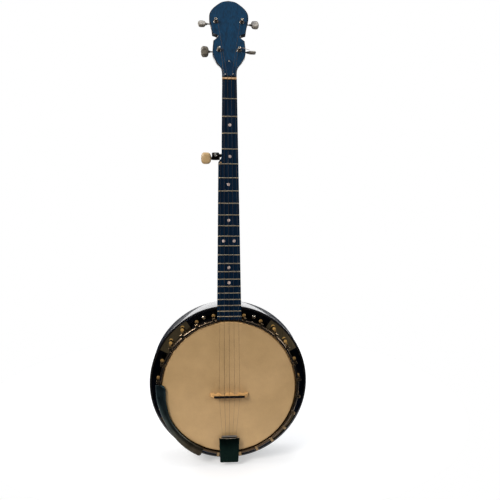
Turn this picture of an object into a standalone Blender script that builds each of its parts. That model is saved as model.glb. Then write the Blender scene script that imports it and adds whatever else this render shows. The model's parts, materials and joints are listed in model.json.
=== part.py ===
"""A five-string resonator banjo, standing upright.

World frame: metres, +Z up along the neck, the playing side faces -Y, and the origin is the centre of the
resonator's flat back. Three empties carry the parts, each with +X to the right, +Y along the part towards
the peghead and +Z out towards the player:
    pot       at the centre of the resonator's back; Z is the distance in front of it
    neck      at the nut, on the plane of the fingerboard's surface
    peghead   just above the nut, on the plane of the peghead's face
"""
import math

import bmesh
import bpy
from mathutils import Matrix, Vector

GAP = 0.0003                    # kept between pieces that rest on each other
RING_STEPS = 60                 # sides of the pot's large turned rings

# The drum: radii from its axis and heights in front of the resonator's back
HEAD_FRONT = 0.095
HEAD_THICKNESS = 0.0004
RIM_OUTER = 0.1397
RIM_INNER = 0.1330
RIM_BACK = 0.020
RIM_FRONT = 0.0885
TONE_RING_OUTER = 0.1399
FLESH_HOOP_OUTER = 0.1413
HOOP_INNER = 0.1416
HOOP_OUTER = 0.1470
HOOP_BACK = 0.0858
HOOP_FRONT = 0.0980
RESONATOR_OUTER = 0.1685
RESONATOR_INNER = 0.1650
RESONATOR_FLOOR = 0.006
RESONATOR_CORNER = 0.012
FLANGE_FRONT = 0.0650
FLANGE_THICKNESS = 0.0025
FLANGE_BEAD = 0.0015
FLANGE_INNER = RIM_OUTER + 2 * GAP
FLANGE_OUTER = RESONATOR_INNER - GAP
SOUND_OPENING = (33.5, 63.0)    # degrees from the neck, on each side, and again from the tail
OPENING_INNER = 0.1425
OPENING_OUTER = 0.1636

# The tension hooks, spread evenly from one side of the neck to the other
HOOK_COUNT = 24
FIRST_HOOK = 12.5               # degrees from the neck
HOOK_STEP = 14.4
HOOK_RADIUS = 0.1505            # from the drum's axis to a hook's shank
SHANK_RADIUS = 0.0020
CLAW_WIDTH = 0.0052
CLAW_THICKNESS = 0.0018
CLAW_INNER = 0.1428
CLAW_OUTER = 0.1525
NOTCH_WIDTH = 0.0060
NOTCH_DEPTH = 0.0024
SHOE_BACK = 0.038
SHOE_FRONT = 0.048
SHOE_WIDTH = 0.0095
SHOE_OUTER = 0.1545
NUT_LENGTH = 0.0125
NUT_RADIUS = 0.0041

# The neck: distances down from the nut
NUT_HEIGHT = 0.6325             # the nut above the pot's axis
NECK_TILT = math.radians(1.85)
PLANE_AT_POT = 0.0045           # the fingerboard's surface in front of the head, above the pot
POT_EDGE = 0.480
FINGERBOARD_END = 0.4868
FINGERBOARD_THICKNESS = 0.0055
NUT_HALF_WIDTH = 0.0147
TREBLE_FLARE = 0.0209           # growth of each half width, per metre of neck
BASS_FLARE = 0.0086
FIFTH_STEP = 0.0065             # the bass side steps out below the fifth peg
FIFTH_STEP_TOP = 0.153
FIFTH_STEP_BOTTOM = 0.1655
HEEL_START = 0.400
HEEL_DEPTH = 0.0272
NECK_DEPTH = 0.0155
NUT_THICKNESS = 0.0040
NUT_TOP = 0.0022
SLOT_WIDTH = 0.0013
SLOT_DEPTH = 0.0012

# The peghead
PEGHEAD_TILT = math.radians(13)
PEGHEAD_THICKNESS = 0.014
# Right half of its outline, from the nut to the crown, as three smooth runs that meet at corners
PEGHEAD_RUNS = (
    ((0.0148, 0.0), (0.0149, 0.0090), (0.0158, 0.0176), (0.0202, 0.0261), (0.0268, 0.0355),
     (0.0318, 0.0455), (0.0335, 0.0560), (0.0328, 0.0690), (0.0316, 0.0800)),
    ((0.0316, 0.0800), (0.0262, 0.0845), (0.0224, 0.0885), (0.0246, 0.0927), (0.0341, 0.0962)),
    ((0.0341, 0.0962), (0.0354, 0.1060), (0.0376, 0.1165), (0.0398, 0.1260), (0.0394, 0.1375),
     (0.0345, 0.1475), (0.0258, 0.1563), (0.0139, 0.1645), (0.0, 0.1675)),
)

# The tuners: the gear's post stands through the wood, and the worm's shaft carries the button
POST_RADIUS = 0.0030
WAIST_RADIUS = 0.0024
GEAR_RADIUS = 0.0037
GEAR_THICKNESS = 0.0034
WORM_RADIUS = 0.0015
WORM_OFFSET = 0.0055
SHAFT_RADIUS = 0.0014
GEAR_LEVEL = 0.0065             # below the surface that the housing is fixed to
HOUSING_WALL = 0.0013
HOUSING_HALF_LENGTH = 0.0075
HOUSING_LOW = 0.0090
HOUSING_HIGH = 0.0058
HOUSING_DEPTH = 0.0120
SLEEVE_RADIUS = 0.0040
BORE_RADIUS = 0.0034
COLLAR_RADIUS = 0.0050
COLLAR_THICKNESS = 0.0016
WINDING_LEVEL = 0.0040          # the highest turn of string, above the foot of the post's waist
PEGHEAD_WAIST = 0.0028
FIFTH_WAIST = 0.0028
# name: (post's x, post's y, button's x, quarter turns of the button at rest)
PEGHEAD_TUNERS = {
    "first": (0.0205, 0.0602, 0.0482, 0.69),
    "second": (0.0265, 0.1213, 0.0550, 0.24),
    "third": (-0.0265, 0.1213, -0.0550, 0.40),
    "fourth": (-0.0205, 0.0602, -0.0490, -0.31),
}
FIFTH_POST = (-0.0280, -0.150)
FIFTH_BUTTON_X = -0.0470
FIFTH_FACE = -0.0040
FIFTH_PIP = (-0.0177, -0.1644, 0.0018)
BUTTON_SIZE = (0.0156, 0.0220, 0.0072)
FIFTH_BUTTON_SIZE = (0.0198, 0.0236, 0.0085)

# The strings
STRING_RADII = {"first": 0.00020, "second": 0.00020, "third": 0.00024, "fourth": 0.00030, "fifth": 0.00020}
NUT_SPACING = 0.0074
BRIDGE_SPACING = 0.0107
TAIL_SPACING = 0.0072
TURNS_ON_POST = 2.4
TURN_PITCH = 0.0010
POINTS_A_TURN = 10

# The bridge and what holds the strings' tails
BRIDGE_BELOW_AXIS = 0.0155
BRIDGE_BASE = 0.0800
BRIDGE_TOP = 0.0640
BRIDGE_HEIGHT = 0.0142
BRIDGE_FOOT_THICKNESS = 0.0085
BRIDGE_TOP_THICKNESS = 0.0034
SADDLE_HEIGHT = 0.0015
TAIL_FRONT = -0.1030            # the tailpiece's front edge, along the pot's Y
TAIL_PLATE_BACK = -0.1540
TAIL_PLATE_HEIGHT = 0.1005
TAIL_PLATE_THICKNESS = 0.0015
TAIL_PLATE_WIDTH = 0.0324
TAIL_PIN = (-0.1560, 0.1036)
TAIL_PIN_RADIUS = 0.0014
COVER_FRONT = -0.1075
COVER_BACK = -0.1605
COVER_FRONT_WIDTH = 0.0430
COVER_BACK_WIDTH = 0.0386
COVER_LOW = 0.1024
COVER_HIGH = 0.1066
COVER_WALL = 0.0012
LOOP_POST_Y = -0.1165

# The rod through the drum, from the neck's heel to the tailpiece's hanger
ROD_HEIGHT = 0.0760
ROD_RADIUS = 0.0050
STUD_RADIUS = 0.0030
STUD_HOLE = 0.0036
STUD_IN_HEEL = 0.158
STUD_AT_TAIL = -0.1585
HANGER_INNER = 0.1500
HANGER_THICKNESS = 0.0018

# The armrest, a crowned sheet over the hoop, with a wide pad at its upper end
ARMREST_THICKNESS = 0.0016
# Its inner and outer radius at angles anticlockwise from +X
ARMREST_EDGES = ((176.3, 0.1400, 0.1527), (178.0, 0.1352, 0.1526), (181.0, 0.1325, 0.1525),
                 (190.0, 0.1342, 0.1523), (198.0, 0.1358, 0.1519), (207.0, 0.1386, 0.1521),
                 (217.0, 0.1396, 0.1540), (230.0, 0.1401, 0.1573), (240.0, 0.1405, 0.1592),
                 (247.3, 0.1408, 0.1600))
# Its height at shares of the way from the inner edge to the outer one
ARMREST_CROWN = ((0.0, 0.0992), (0.2, 0.1014), (0.5, 0.1024), (0.8, 0.1014), (1.0, 0.0996))
ARMREST_STEPS = 24
ARMREST_LEGS = (106.1, 149.3)   # degrees from the neck, on the bass side, between two hooks
LEG_RADIUS = 0.0024
LEG_PLACE = 0.1501              # from the drum's axis

parts = bpy.data.collections.new("banjo")
cutters = bpy.data.collections.new("cutters")


# ---------------------------------------------------------------- helpers
def clear_scene():
    for old in list(bpy.data.objects):
        bpy.data.objects.remove(old, do_unlink=True)


def material(name, color, roughness, metallic=0.0):
    made = bpy.data.materials.new(name)
    made.use_nodes = True
    shader = made.node_tree.nodes["Principled BSDF"]
    shader.inputs["Base Color"].default_value = (*color, 1.0)
    shader.inputs["Roughness"].default_value = roughness
    shader.inputs["Metallic"].default_value = metallic
    return made


def empty(name, parent=None, location=(0, 0, 0), rotation=(0, 0, 0)):
    made = bpy.data.objects.new(name, None)
    parts.objects.link(made)
    made.parent = parent
    made.location = location
    made.rotation_euler = rotation
    return made


def place(name, data, finish=None, parent=None, location=(0, 0, 0), rotation=(0, 0, 0)):
    """Adds a named part, or a cutter when it has no finish."""
    made = bpy.data.objects.new(name, data)
    if finish is None:
        cutters.objects.link(made)
        made.hide_render = True
        made.display_type = "WIRE"
    else:
        parts.objects.link(made)
        if not data.materials:
            data.materials.append(finish)
    made.parent = parent
    made.location = location
    made.rotation_euler = rotation
    return made


def solid(name, build):
    """A mesh made by build(bm), which fills a new bmesh."""
    mesh = bpy.data.meshes.new(name)
    bm = bmesh.new()
    build(bm)
    bm.to_mesh(mesh)
    bm.free()
    return mesh


def add_box(bm, low, high, turn=None):
    """A box between two corners, turned afterwards by the matrix turn."""
    size = [high[i] - low[i] for i in range(3)]
    centre = [(high[i] + low[i]) / 2 for i in range(3)]
    matrix = Matrix.Translation(centre) @ Matrix.Diagonal((*size, 1.0))
    if turn is not None:
        matrix = turn @ matrix
    bmesh.ops.create_cube(bm, size=1.0, matrix=matrix)


def add_cylinder(bm, radius, start, end, sides=16, top_radius=None):
    """A cylinder or cone from start to end."""
    start = Vector(start)
    end = Vector(end)
    along = end - start
    turn = along.to_track_quat("Z", "Y").to_matrix().to_4x4()
    matrix = Matrix.Translation((start + end) / 2) @ turn
    tip = radius if top_radius is None else top_radius
    bmesh.ops.create_cone(bm, cap_ends=True, segments=sides, radius1=radius, radius2=tip,
                          depth=along.length, matrix=matrix)


def turned(name, profile, finish, parent, closed=True, steps=RING_STEPS):
    """A profile of (radius, height) points turned about Z, running down its outer side."""
    points = [(radius, 0.0, height) for radius, height in profile]
    edges = [(i, i + 1) for i in range(len(points) - 1)]
    if closed:
        edges.append((len(points) - 1, 0))
    mesh = bpy.data.meshes.new(name)
    mesh.from_pydata(points, edges, [])
    made = place(name, mesh, finish, parent)
    screw = made.modifiers.new("turn", "SCREW")
    screw.axis = "Z"
    screw.angle = math.radians(360)
    screw.steps = steps
    screw.render_steps = steps
    screw.use_merge_vertices = True
    screw.merge_threshold = 0.00001
    return made


def ring(inner, outer, back, front):
    return ((outer, front), (outer, back), (inner, back), (inner, front))


def boolean(target, other, operation="DIFFERENCE"):
    change = target.modifiers.new(operation.lower(), "BOOLEAN")
    change.operation = operation
    change.object = other


def evaluated_mesh(source):
    """The object's mesh with its modifiers, its loose caps welded."""
    bpy.context.view_layer.update()
    graph = bpy.context.evaluated_depsgraph_get()
    mesh = bpy.data.meshes.new_from_object(source.evaluated_get(graph))
    bm = bmesh.new()
    bm.from_mesh(mesh)
    bmesh.ops.remove_doubles(bm, verts=bm.verts, dist=0.000001)
    bm.to_mesh(mesh)
    bm.free()
    return mesh


def plate(name, outline, thickness, finish, parent=None, location=(0, 0, 0), rotation=(0, 0, 0)):
    """A flat outline in XY, thickened evenly to both sides, as a mesh."""
    curve = bpy.data.curves.new(name, "CURVE")
    curve.dimensions = "2D"
    curve.fill_mode = "BOTH"
    curve.extrude = thickness / 2
    spline = curve.splines.new("POLY")
    spline.points.add(len(outline) - 1)
    for point, (x, y) in zip(spline.points, outline):
        point.co = (x, y, 0, 1)
    spline.use_cyclic_u = True
    drawn = place(name + "_outline", curve)
    mesh = evaluated_mesh(drawn)
    bpy.data.objects.remove(drawn)
    mesh.name = name
    return place(name, mesh, finish, parent, location, rotation)


def smooth_run(points, pieces):
    """Catmull-Rom points along a run, without its last point."""
    padded = [points[0], *points, points[-1]]
    run = []
    for i in range(1, len(padded) - 2):
        a, b, c, d = (Vector(padded[k]) for k in range(i - 1, i + 3))
        for step in range(pieces):
            t = step / pieces
            run.append(tuple(b + 0.5 * t * (c - a + t * (2 * a - 5 * b + 4 * c - d
                                                         + t * (3 * b - a - 3 * c + d)))))
    return run


def around_pot(degrees, radius):
    """X and Y in the pot's frame at an angle from the neck, positive towards the treble side."""
    angle = math.radians(degrees)
    return radius * math.sin(angle), radius * math.cos(angle)


def hook_angles():
    half = HOOK_COUNT // 2
    treble = [FIRST_HOOK + HOOK_STEP * k for k in range(half)]
    return treble + [-angle for angle in reversed(treble)]


def arc_band(inner, outer, start, end, steps=8):
    """Outline of a band between two radii, from one angle from the neck to another."""
    outside = [around_pot(start + (end - start) * k / steps, outer) for k in range(steps + 1)]
    inside = [around_pot(end - (end - start) * k / steps, inner) for k in range(steps + 1)]
    return inside[::-1] + outside[::-1]


# ---------------------------------------------------------------- finishes
def make_finishes():
    return {
        "dark_gloss_wood": material("dark_gloss_wood", (0.020, 0.018, 0.020), 0.18),
        "ebony": material("ebony", (0.012, 0.014, 0.018), 0.35),
        "maple": material("maple", (0.62, 0.42, 0.22), 0.45),
        "chrome": material("chrome", (0.78, 0.76, 0.72), 0.12, 1.0),
        "dark_chrome": material("dark_chrome", (0.05, 0.06, 0.07), 0.15, 1.0),
        "cast_metal": material("cast_metal", (0.55, 0.55, 0.56), 0.40, 1.0),
        "calf_head": material("calf_head", (0.52, 0.38, 0.22), 0.65),
        "bone": material("bone", (0.72, 0.52, 0.30), 0.45),
        "pearl": material("pearl", (0.42, 0.38, 0.33), 0.25),
        "cream": material("cream", (0.72, 0.55, 0.36), 0.30),
        "black": material("black", (0.02, 0.02, 0.02), 0.30),
        "steel": material("steel", (0.70, 0.66, 0.60), 0.25, 1.0),
    }


# ---------------------------------------------------------------- the pot
def corner_arc(start, end, steps):
    """Points of the resonator's rounded back edge, by angle from the side towards the back."""
    angles = [math.radians(start + (end - start) * k / steps) for k in range(steps + 1)]
    return [(RESONATOR_OUTER - RESONATOR_CORNER * (1 - math.cos(a)), RESONATOR_CORNER * (1 - math.sin(a)))
            for a in angles]


def make_resonator(pot, finish):
    """A bent wooden side and a back board, which meet on the rounded edge."""
    joint = math.degrees(math.asin(1 - RESONATOR_FLOOR / RESONATOR_CORNER))
    side_end = math.degrees(math.asin(1 - (RESONATOR_FLOOR + GAP) / RESONATOR_CORNER))
    side = ((RESONATOR_INNER + 0.0005, FLANGE_FRONT), (RESONATOR_OUTER - 0.001, FLANGE_FRONT),
            (RESONATOR_OUTER, FLANGE_FRONT - 0.001), *corner_arc(0, side_end, 2),
            (RESONATOR_INNER, RESONATOR_FLOOR + GAP), (RESONATOR_INNER, FLANGE_FRONT - 0.0005))
    turned("resonator_side", side, finish["dark_gloss_wood"], pot)
    back = ((0.0, RESONATOR_FLOOR), *corner_arc(joint, 90, 4), (0.0, 0.0))
    turned("resonator_back", back, finish["dark_gloss_wood"], pot, closed=False)


def make_flange(pot, finish):
    back = FLANGE_FRONT - FLANGE_THICKNESS
    bead = FLANGE_FRONT + FLANGE_BEAD
    flange = turned("flange", ((FLANGE_OUTER, bead - 0.0008), (FLANGE_OUTER, back), (FLANGE_INNER, back),
                               (FLANGE_INNER, FLANGE_FRONT), (OPENING_OUTER, FLANGE_FRONT),
                               (OPENING_OUTER + 0.0006, bead)), finish["dark_chrome"], pot)
    low, high = SOUND_OPENING
    starts = (low, 180 - high, 180 + low, 360 - high)
    for number, start in enumerate(starts, 1):
        opening = plate(f"sound_opening_{number}", arc_band(OPENING_INNER, OPENING_OUTER, start,
                                                            start + high - low), 0.02, None, pot,
                        location=(0, 0, FLANGE_FRONT))
        boolean(flange, opening)

    def hook_holes(bm):
        for angle in hook_angles():
            x, y = around_pot(angle, HOOK_RADIUS)
            nearest = min(abs(angle), 180 - abs(angle))
            if not low < nearest < high:
                add_cylinder(bm, SHANK_RADIUS + 0.0008, (x, y, back - 0.01), (x, y, bead + 0.01), 8)

    holes = place("flange_holes", solid("flange_holes", hook_holes), parent=pot)
    boolean(flange, holes)


def make_rim(pot, finish, stud_hole):
    rim = turned("rim", ring(RIM_INNER, RIM_OUTER, RIM_BACK, RIM_FRONT), finish["cast_metal"], pot)

    def shoes(bm):
        for angle in hook_angles():
            turn = Matrix.Rotation(math.radians(-angle), 4, "Z")
            add_box(bm, (-SHOE_WIDTH / 2, RIM_OUTER - 0.003, SHOE_BACK),
                    (SHOE_WIDTH / 2, SHOE_OUTER, SHOE_FRONT), turn)

    def shoe_holes(bm):
        for angle in hook_angles():
            x, y = around_pot(angle, HOOK_RADIUS)
            add_cylinder(bm, SHANK_RADIUS + 0.0006, (x, y, SHOE_BACK - 0.005), (x, y, SHOE_FRONT + 0.005), 8)

    boolean(rim, place("shoes", solid("shoes", shoes), parent=pot), "UNION")
    boolean(rim, place("shoe_holes", solid("shoe_holes", shoe_holes), parent=pot))
    boolean(rim, stud_hole)
    front = HEAD_FRONT - HEAD_THICKNESS - GAP
    inner = RIM_INNER + 0.0006
    profile = ((TONE_RING_OUTER, front - 0.0015), (TONE_RING_OUTER, RIM_FRONT + GAP),
               (inner, RIM_FRONT + GAP), (inner, front - 0.002), (RIM_INNER + 0.0030, front),
               (TONE_RING_OUTER - 0.0015, front))
    turned("tone_ring", profile, finish["chrome"], pot)


def make_drum_head(pot, finish):
    front = HEAD_FRONT
    under = HEAD_FRONT - HEAD_THICKNESS
    collar = TONE_RING_OUTER + GAP
    outside = collar + HEAD_THICKNESS
    profile = ((0.0, front), (outside - 0.0014, front), (outside, front - 0.0014), (outside, 0.0895),
               (FLESH_HOOP_OUTER, 0.0892), (FLESH_HOOP_OUTER, 0.0870), (collar, 0.0870),
               (collar, under - 0.0012), (collar - 0.0012, under), (0.0, under))
    turned("drum_head", profile, finish["calf_head"], pot, closed=False)


def make_hoop(pot, finish):
    hoop = turned("tension_hoop", ((HOOP_OUTER, HOOP_FRONT - 0.001), (HOOP_OUTER, HOOP_BACK),
                                   (HOOP_INNER, HOOP_BACK), (HOOP_INNER, HOOP_FRONT),
                                   (HOOP_OUTER - 0.001, HOOP_FRONT)), finish["chrome"], pot)

    def notches(bm):
        for angle in hook_angles():
            turn = Matrix.Rotation(math.radians(-angle), 4, "Z")
            add_box(bm, (-NOTCH_WIDTH / 2, HOOP_INNER - 0.004, HOOP_FRONT - NOTCH_DEPTH),
                    (NOTCH_WIDTH / 2, HOOP_OUTER + 0.004, HOOP_FRONT + 0.003), turn)
        # The fingerboard's end sits in a wider notch
        add_box(bm, (-0.0262, HOOP_INNER - 0.010, HEAD_FRONT - 0.0025),
                (0.0262, HOOP_OUTER + 0.004, HOOP_FRONT + 0.003))

    boolean(hoop, place("hoop_notches", solid("hoop_notches", notches), parent=pot))


def make_hooks(pot, finish):
    """A flat claw over the hoop, a shank through the flange and the shoe, and a nut under the shoe."""
    claw_back = HOOP_FRONT - NOTCH_DEPTH + GAP
    claw_front = claw_back + CLAW_THICKNESS

    def claw(bm):
        add_box(bm, (-CLAW_WIDTH / 2, CLAW_INNER, claw_back), (CLAW_WIDTH / 2, CLAW_OUTER, claw_front))

    def shank(bm):
        add_cylinder(bm, SHANK_RADIUS, (0, HOOK_RADIUS, SHOE_BACK - NUT_LENGTH / 2),
                     (0, HOOK_RADIUS, claw_back + CLAW_THICKNESS / 2), 10)

    def nut(bm):
        add_cylinder(bm, NUT_RADIUS, (0, HOOK_RADIUS, SHOE_BACK - GAP - NUT_LENGTH),
                     (0, HOOK_RADIUS, SHOE_BACK - GAP), 6)

    pattern = place("hook_pattern", solid("hook_claw", claw), parent=pot)
    boolean(pattern, place("hook_shank", solid("hook_shank", shank), parent=pot), "UNION")
    boolean(pattern, place("hook_nut", solid("hook_nut", nut), parent=pot), "UNION")
    shape = evaluated_mesh(pattern)
    shape.name = "tension_hook"
    for number, angle in enumerate(hook_angles(), 1):
        place(f"tension_hook_{number:02d}", shape, finish["chrome"], pot,
              rotation=(0, 0, math.radians(-angle)))


def make_rod(pot, finish):
    """One body: the rod inside the drum, its studs through the rim, and the nut outside the hanger."""
    inside = RIM_INNER - GAP

    def rod(bm):
        add_cylinder(bm, ROD_RADIUS, (0, -inside, ROD_HEIGHT), (0, inside, ROD_HEIGHT), 14)

    def stud(bm):
        add_cylinder(bm, STUD_RADIUS, (0, STUD_AT_TAIL, ROD_HEIGHT), (0, STUD_IN_HEEL, ROD_HEIGHT), 12)

    def nut(bm):
        outside = HANGER_INNER + HANGER_THICKNESS + GAP
        add_cylinder(bm, 0.0052, (0, -outside, ROD_HEIGHT), (0, -outside - 0.005, ROD_HEIGHT), 6)

    made = place("coordinator_rod", solid("coordinator_rod", rod), finish["steel"], pot)
    boolean(made, place("rod_studs", solid("rod_studs", stud), parent=pot), "UNION")
    boolean(made, place("rod_nut", solid("rod_nut", nut), parent=pot), "UNION")


def between(stops, place):
    """Values at a place among stops of (place, value, ...), on straight lines between them."""
    for first, second in zip(stops, stops[1:]):
        if place <= second[0]:
            break
    t = (place - first[0]) / (second[0] - first[0])
    return [a + (b - a) * t for a, b in zip(first[1:], second[1:])]


def armrest_point(degrees, share):
    inner, outer = between(ARMREST_EDGES, degrees)
    height, = between(ARMREST_CROWN, share)
    radius = inner + (outer - inner) * share
    angle = math.radians(degrees)
    return Vector((radius * math.cos(angle), radius * math.sin(angle), height))


def make_armrest(pot, finish):
    start, end = ARMREST_EDGES[0][0], ARMREST_EDGES[-1][0]
    stops = {degrees for degrees, _, _ in ARMREST_EDGES}
    stops |= {start + (end - start) * k / ARMREST_STEPS for k in range(1, ARMREST_STEPS)}
    angles = [start]
    for degrees in sorted(stops):
        if degrees - angles[-1] > 1.2 or (degrees == end and degrees != angles[-1]):
            angles.append(degrees)

    def sheet(bm):
        rows = [[bm.verts.new(armrest_point(degrees, share)) for share, _ in ARMREST_CROWN]
                for degrees in angles]
        for first, second in zip(rows, rows[1:]):
            for k in range(len(first) - 1):
                bm.faces.new((first[k], first[k + 1], second[k + 1], second[k]))

    armrest = place("armrest", solid("armrest", sheet), finish["black"], pot)
    shell = armrest.modifiers.new("sheet", "SOLIDIFY")
    shell.thickness = ARMREST_THICKNESS
    shell.offset = 0.0

    def legs(bm):
        for angle in ARMREST_LEGS:
            degrees = 90 + angle
            inner, outer = between(ARMREST_EDGES, degrees)
            top = armrest_point(degrees, (LEG_PLACE - inner) / (outer - inner))
            add_cylinder(bm, LEG_RADIUS, (top.x, top.y, FLANGE_FRONT + 0.0005), top, 10)

    boolean(armrest, place("armrest_legs", solid("armrest_legs", legs), parent=pot), "UNION")


# ---------------------------------------------------------------- the neck
def step_out(distance):
    """0 above the fifth peg, 1 below it, and a smooth step between."""
    t = (distance - FIFTH_STEP_TOP) / (FIFTH_STEP_BOTTOM - FIFTH_STEP_TOP)
    t = min(max(t, 0.0), 1.0)
    return t * t * (3 - 2 * t)


def treble_edge(distance):
    return NUT_HALF_WIDTH + TREBLE_FLARE * max(distance, 0.0)


def bass_edge(distance):
    return NUT_HALF_WIDTH + BASS_FLARE * max(distance, 0.0) + FIFTH_STEP * step_out(distance)


def neck_depth(distance):
    """Wood below the fingerboard: a slow growth, then the heel."""
    t = min(max((distance - HEEL_START) / (0.470 - HEEL_START), 0.0), 1.0)
    body = NECK_DEPTH + 0.006 * max(distance, 0.0)
    return body + (HEEL_DEPTH - body) * t * t * (3 - 2 * t)


def neck_section(distance, points=12):
    """A flat top and a round back, as points from the treble side to the bass side."""
    treble = treble_edge(distance)
    bass = bass_edge(distance)
    middle = (treble - bass) / 2
    half = (treble + bass) / 2
    top = -FINGERBOARD_THICKNESS - GAP
    depth = neck_depth(distance)
    if distance < -NUT_THICKNESS:
        top -= (-distance - NUT_THICKNESS) * math.tan(PEGHEAD_TILT) + 0.0012
        depth *= 0.80
    section = []
    for k in range(points + 1):
        angle = math.pi * k / points
        across = math.copysign(abs(math.cos(angle)) ** 0.86, math.cos(angle))
        section.append((middle + half * across, -distance, top - depth * math.sin(angle) ** 0.80))
    return section


def make_neck(neck, peghead, pot, finish, stud_hole):
    stations = [-0.020, -0.0042, 0.0, 0.02, 0.06, 0.11, 0.149, FIFTH_STEP_TOP, 0.156, 0.159, 0.162,
                FIFTH_STEP_BOTTOM, 0.20, 0.26, 0.33, 0.385, HEEL_START, 0.418, 0.436, 0.452, 0.470, 0.498]

    def shaft(bm):
        loops = [[bm.verts.new(point) for point in neck_section(distance)] for distance in stations]
        for first, second in zip(loops, loops[1:]):
            count = len(first)
            for k in range(count):
                bm.faces.new((first[k], first[(k + 1) % count], second[(k + 1) % count], second[k]))
        bm.faces.new(reversed(loops[0]))
        bm.faces.new(loops[-1])
        bmesh.ops.recalc_face_normals(bm, faces=bm.faces)

    made = place("neck", solid("neck", shaft), finish["dark_gloss_wood"], neck)
    right = [point for run in PEGHEAD_RUNS for point in smooth_run(run, 3)] + [PEGHEAD_RUNS[-1][-1]]
    outline = right + [(-x, y) for x, y in reversed(right[:-1])]
    slab = plate("peghead_slab", outline, PEGHEAD_THICKNESS, None, peghead,
                 location=(0, 0, -PEGHEAD_THICKNESS / 2))
    boolean(made, slab, "UNION")

    # The heel is cut to the rim, the hoop and the flange
    clearance = ((0.0, 0.125), (HOOP_OUTER + GAP, 0.125), (HOOP_OUTER + GAP, HOOP_BACK - GAP),
                 (RIM_OUTER + GAP, HOOP_BACK - GAP), (RIM_OUTER + GAP, FLANGE_FRONT + FLANGE_BEAD + GAP),
                 (RESONATOR_OUTER + 0.003, FLANGE_FRONT + FLANGE_BEAD + GAP), (RESONATOR_OUTER + 0.003, 0.02),
                 (0.0, 0.02))
    boolean(made, turned("pot_clearance", clearance, None, pot, closed=False))
    boolean(made, stud_hole)

    def post_holes(bm):
        for x, y, _, _ in PEGHEAD_TUNERS.values():
            add_cylinder(bm, SLEEVE_RADIUS + 0.0004, (x, y, -0.03), (x, y, 0.01), 12)

    boolean(made, place("post_holes", solid("post_holes", post_holes), parent=peghead))

    def fifth_hole(bm):
        level = FIFTH_FACE - GEAR_LEVEL
        add_cylinder(bm, 0.0039, (-0.030, FIFTH_POST[1], level), (-0.0095, FIFTH_POST[1], level), 12)

    boolean(made, place("fifth_hole", solid("fifth_hole", fifth_hole), parent=neck))


def make_fingerboard(neck, finish):
    bends = [FIFTH_STEP_TOP + (FIFTH_STEP_BOTTOM - FIFTH_STEP_TOP) * k / 8 for k in range(9)]
    down = [0.0, *bends, FINGERBOARD_END]
    outline = [(-bass_edge(u), -u) for u in down] + [(treble_edge(u), -u) for u in (FINGERBOARD_END, 0.0)]
    plate("fingerboard", outline, FINGERBOARD_THICKNESS, finish["ebony"], neck,
          location=(0, 0, -FINGERBOARD_THICKNESS / 2))


def nut_string_x(order):
    return NUT_SPACING * order


def make_nut(neck, finish):
    half = NUT_HALF_WIDTH - 0.0002

    def block(bm):
        add_box(bm, (-half, GAP, -FINGERBOARD_THICKNESS), (half, NUT_THICKNESS, NUT_TOP))

    def slots(bm):
        for order in (-1.5, -0.5, 0.5, 1.5):
            x = nut_string_x(order)
            add_box(bm, (x - SLOT_WIDTH / 2, -0.002, NUT_TOP - SLOT_DEPTH),
                    (x + SLOT_WIDTH / 2, 0.008, NUT_TOP + 0.002))

    nut = place("nut", solid("nut", block), finish["bone"], neck)
    boolean(nut, place("nut_slots", solid("nut_slots", slots), parent=neck))


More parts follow.
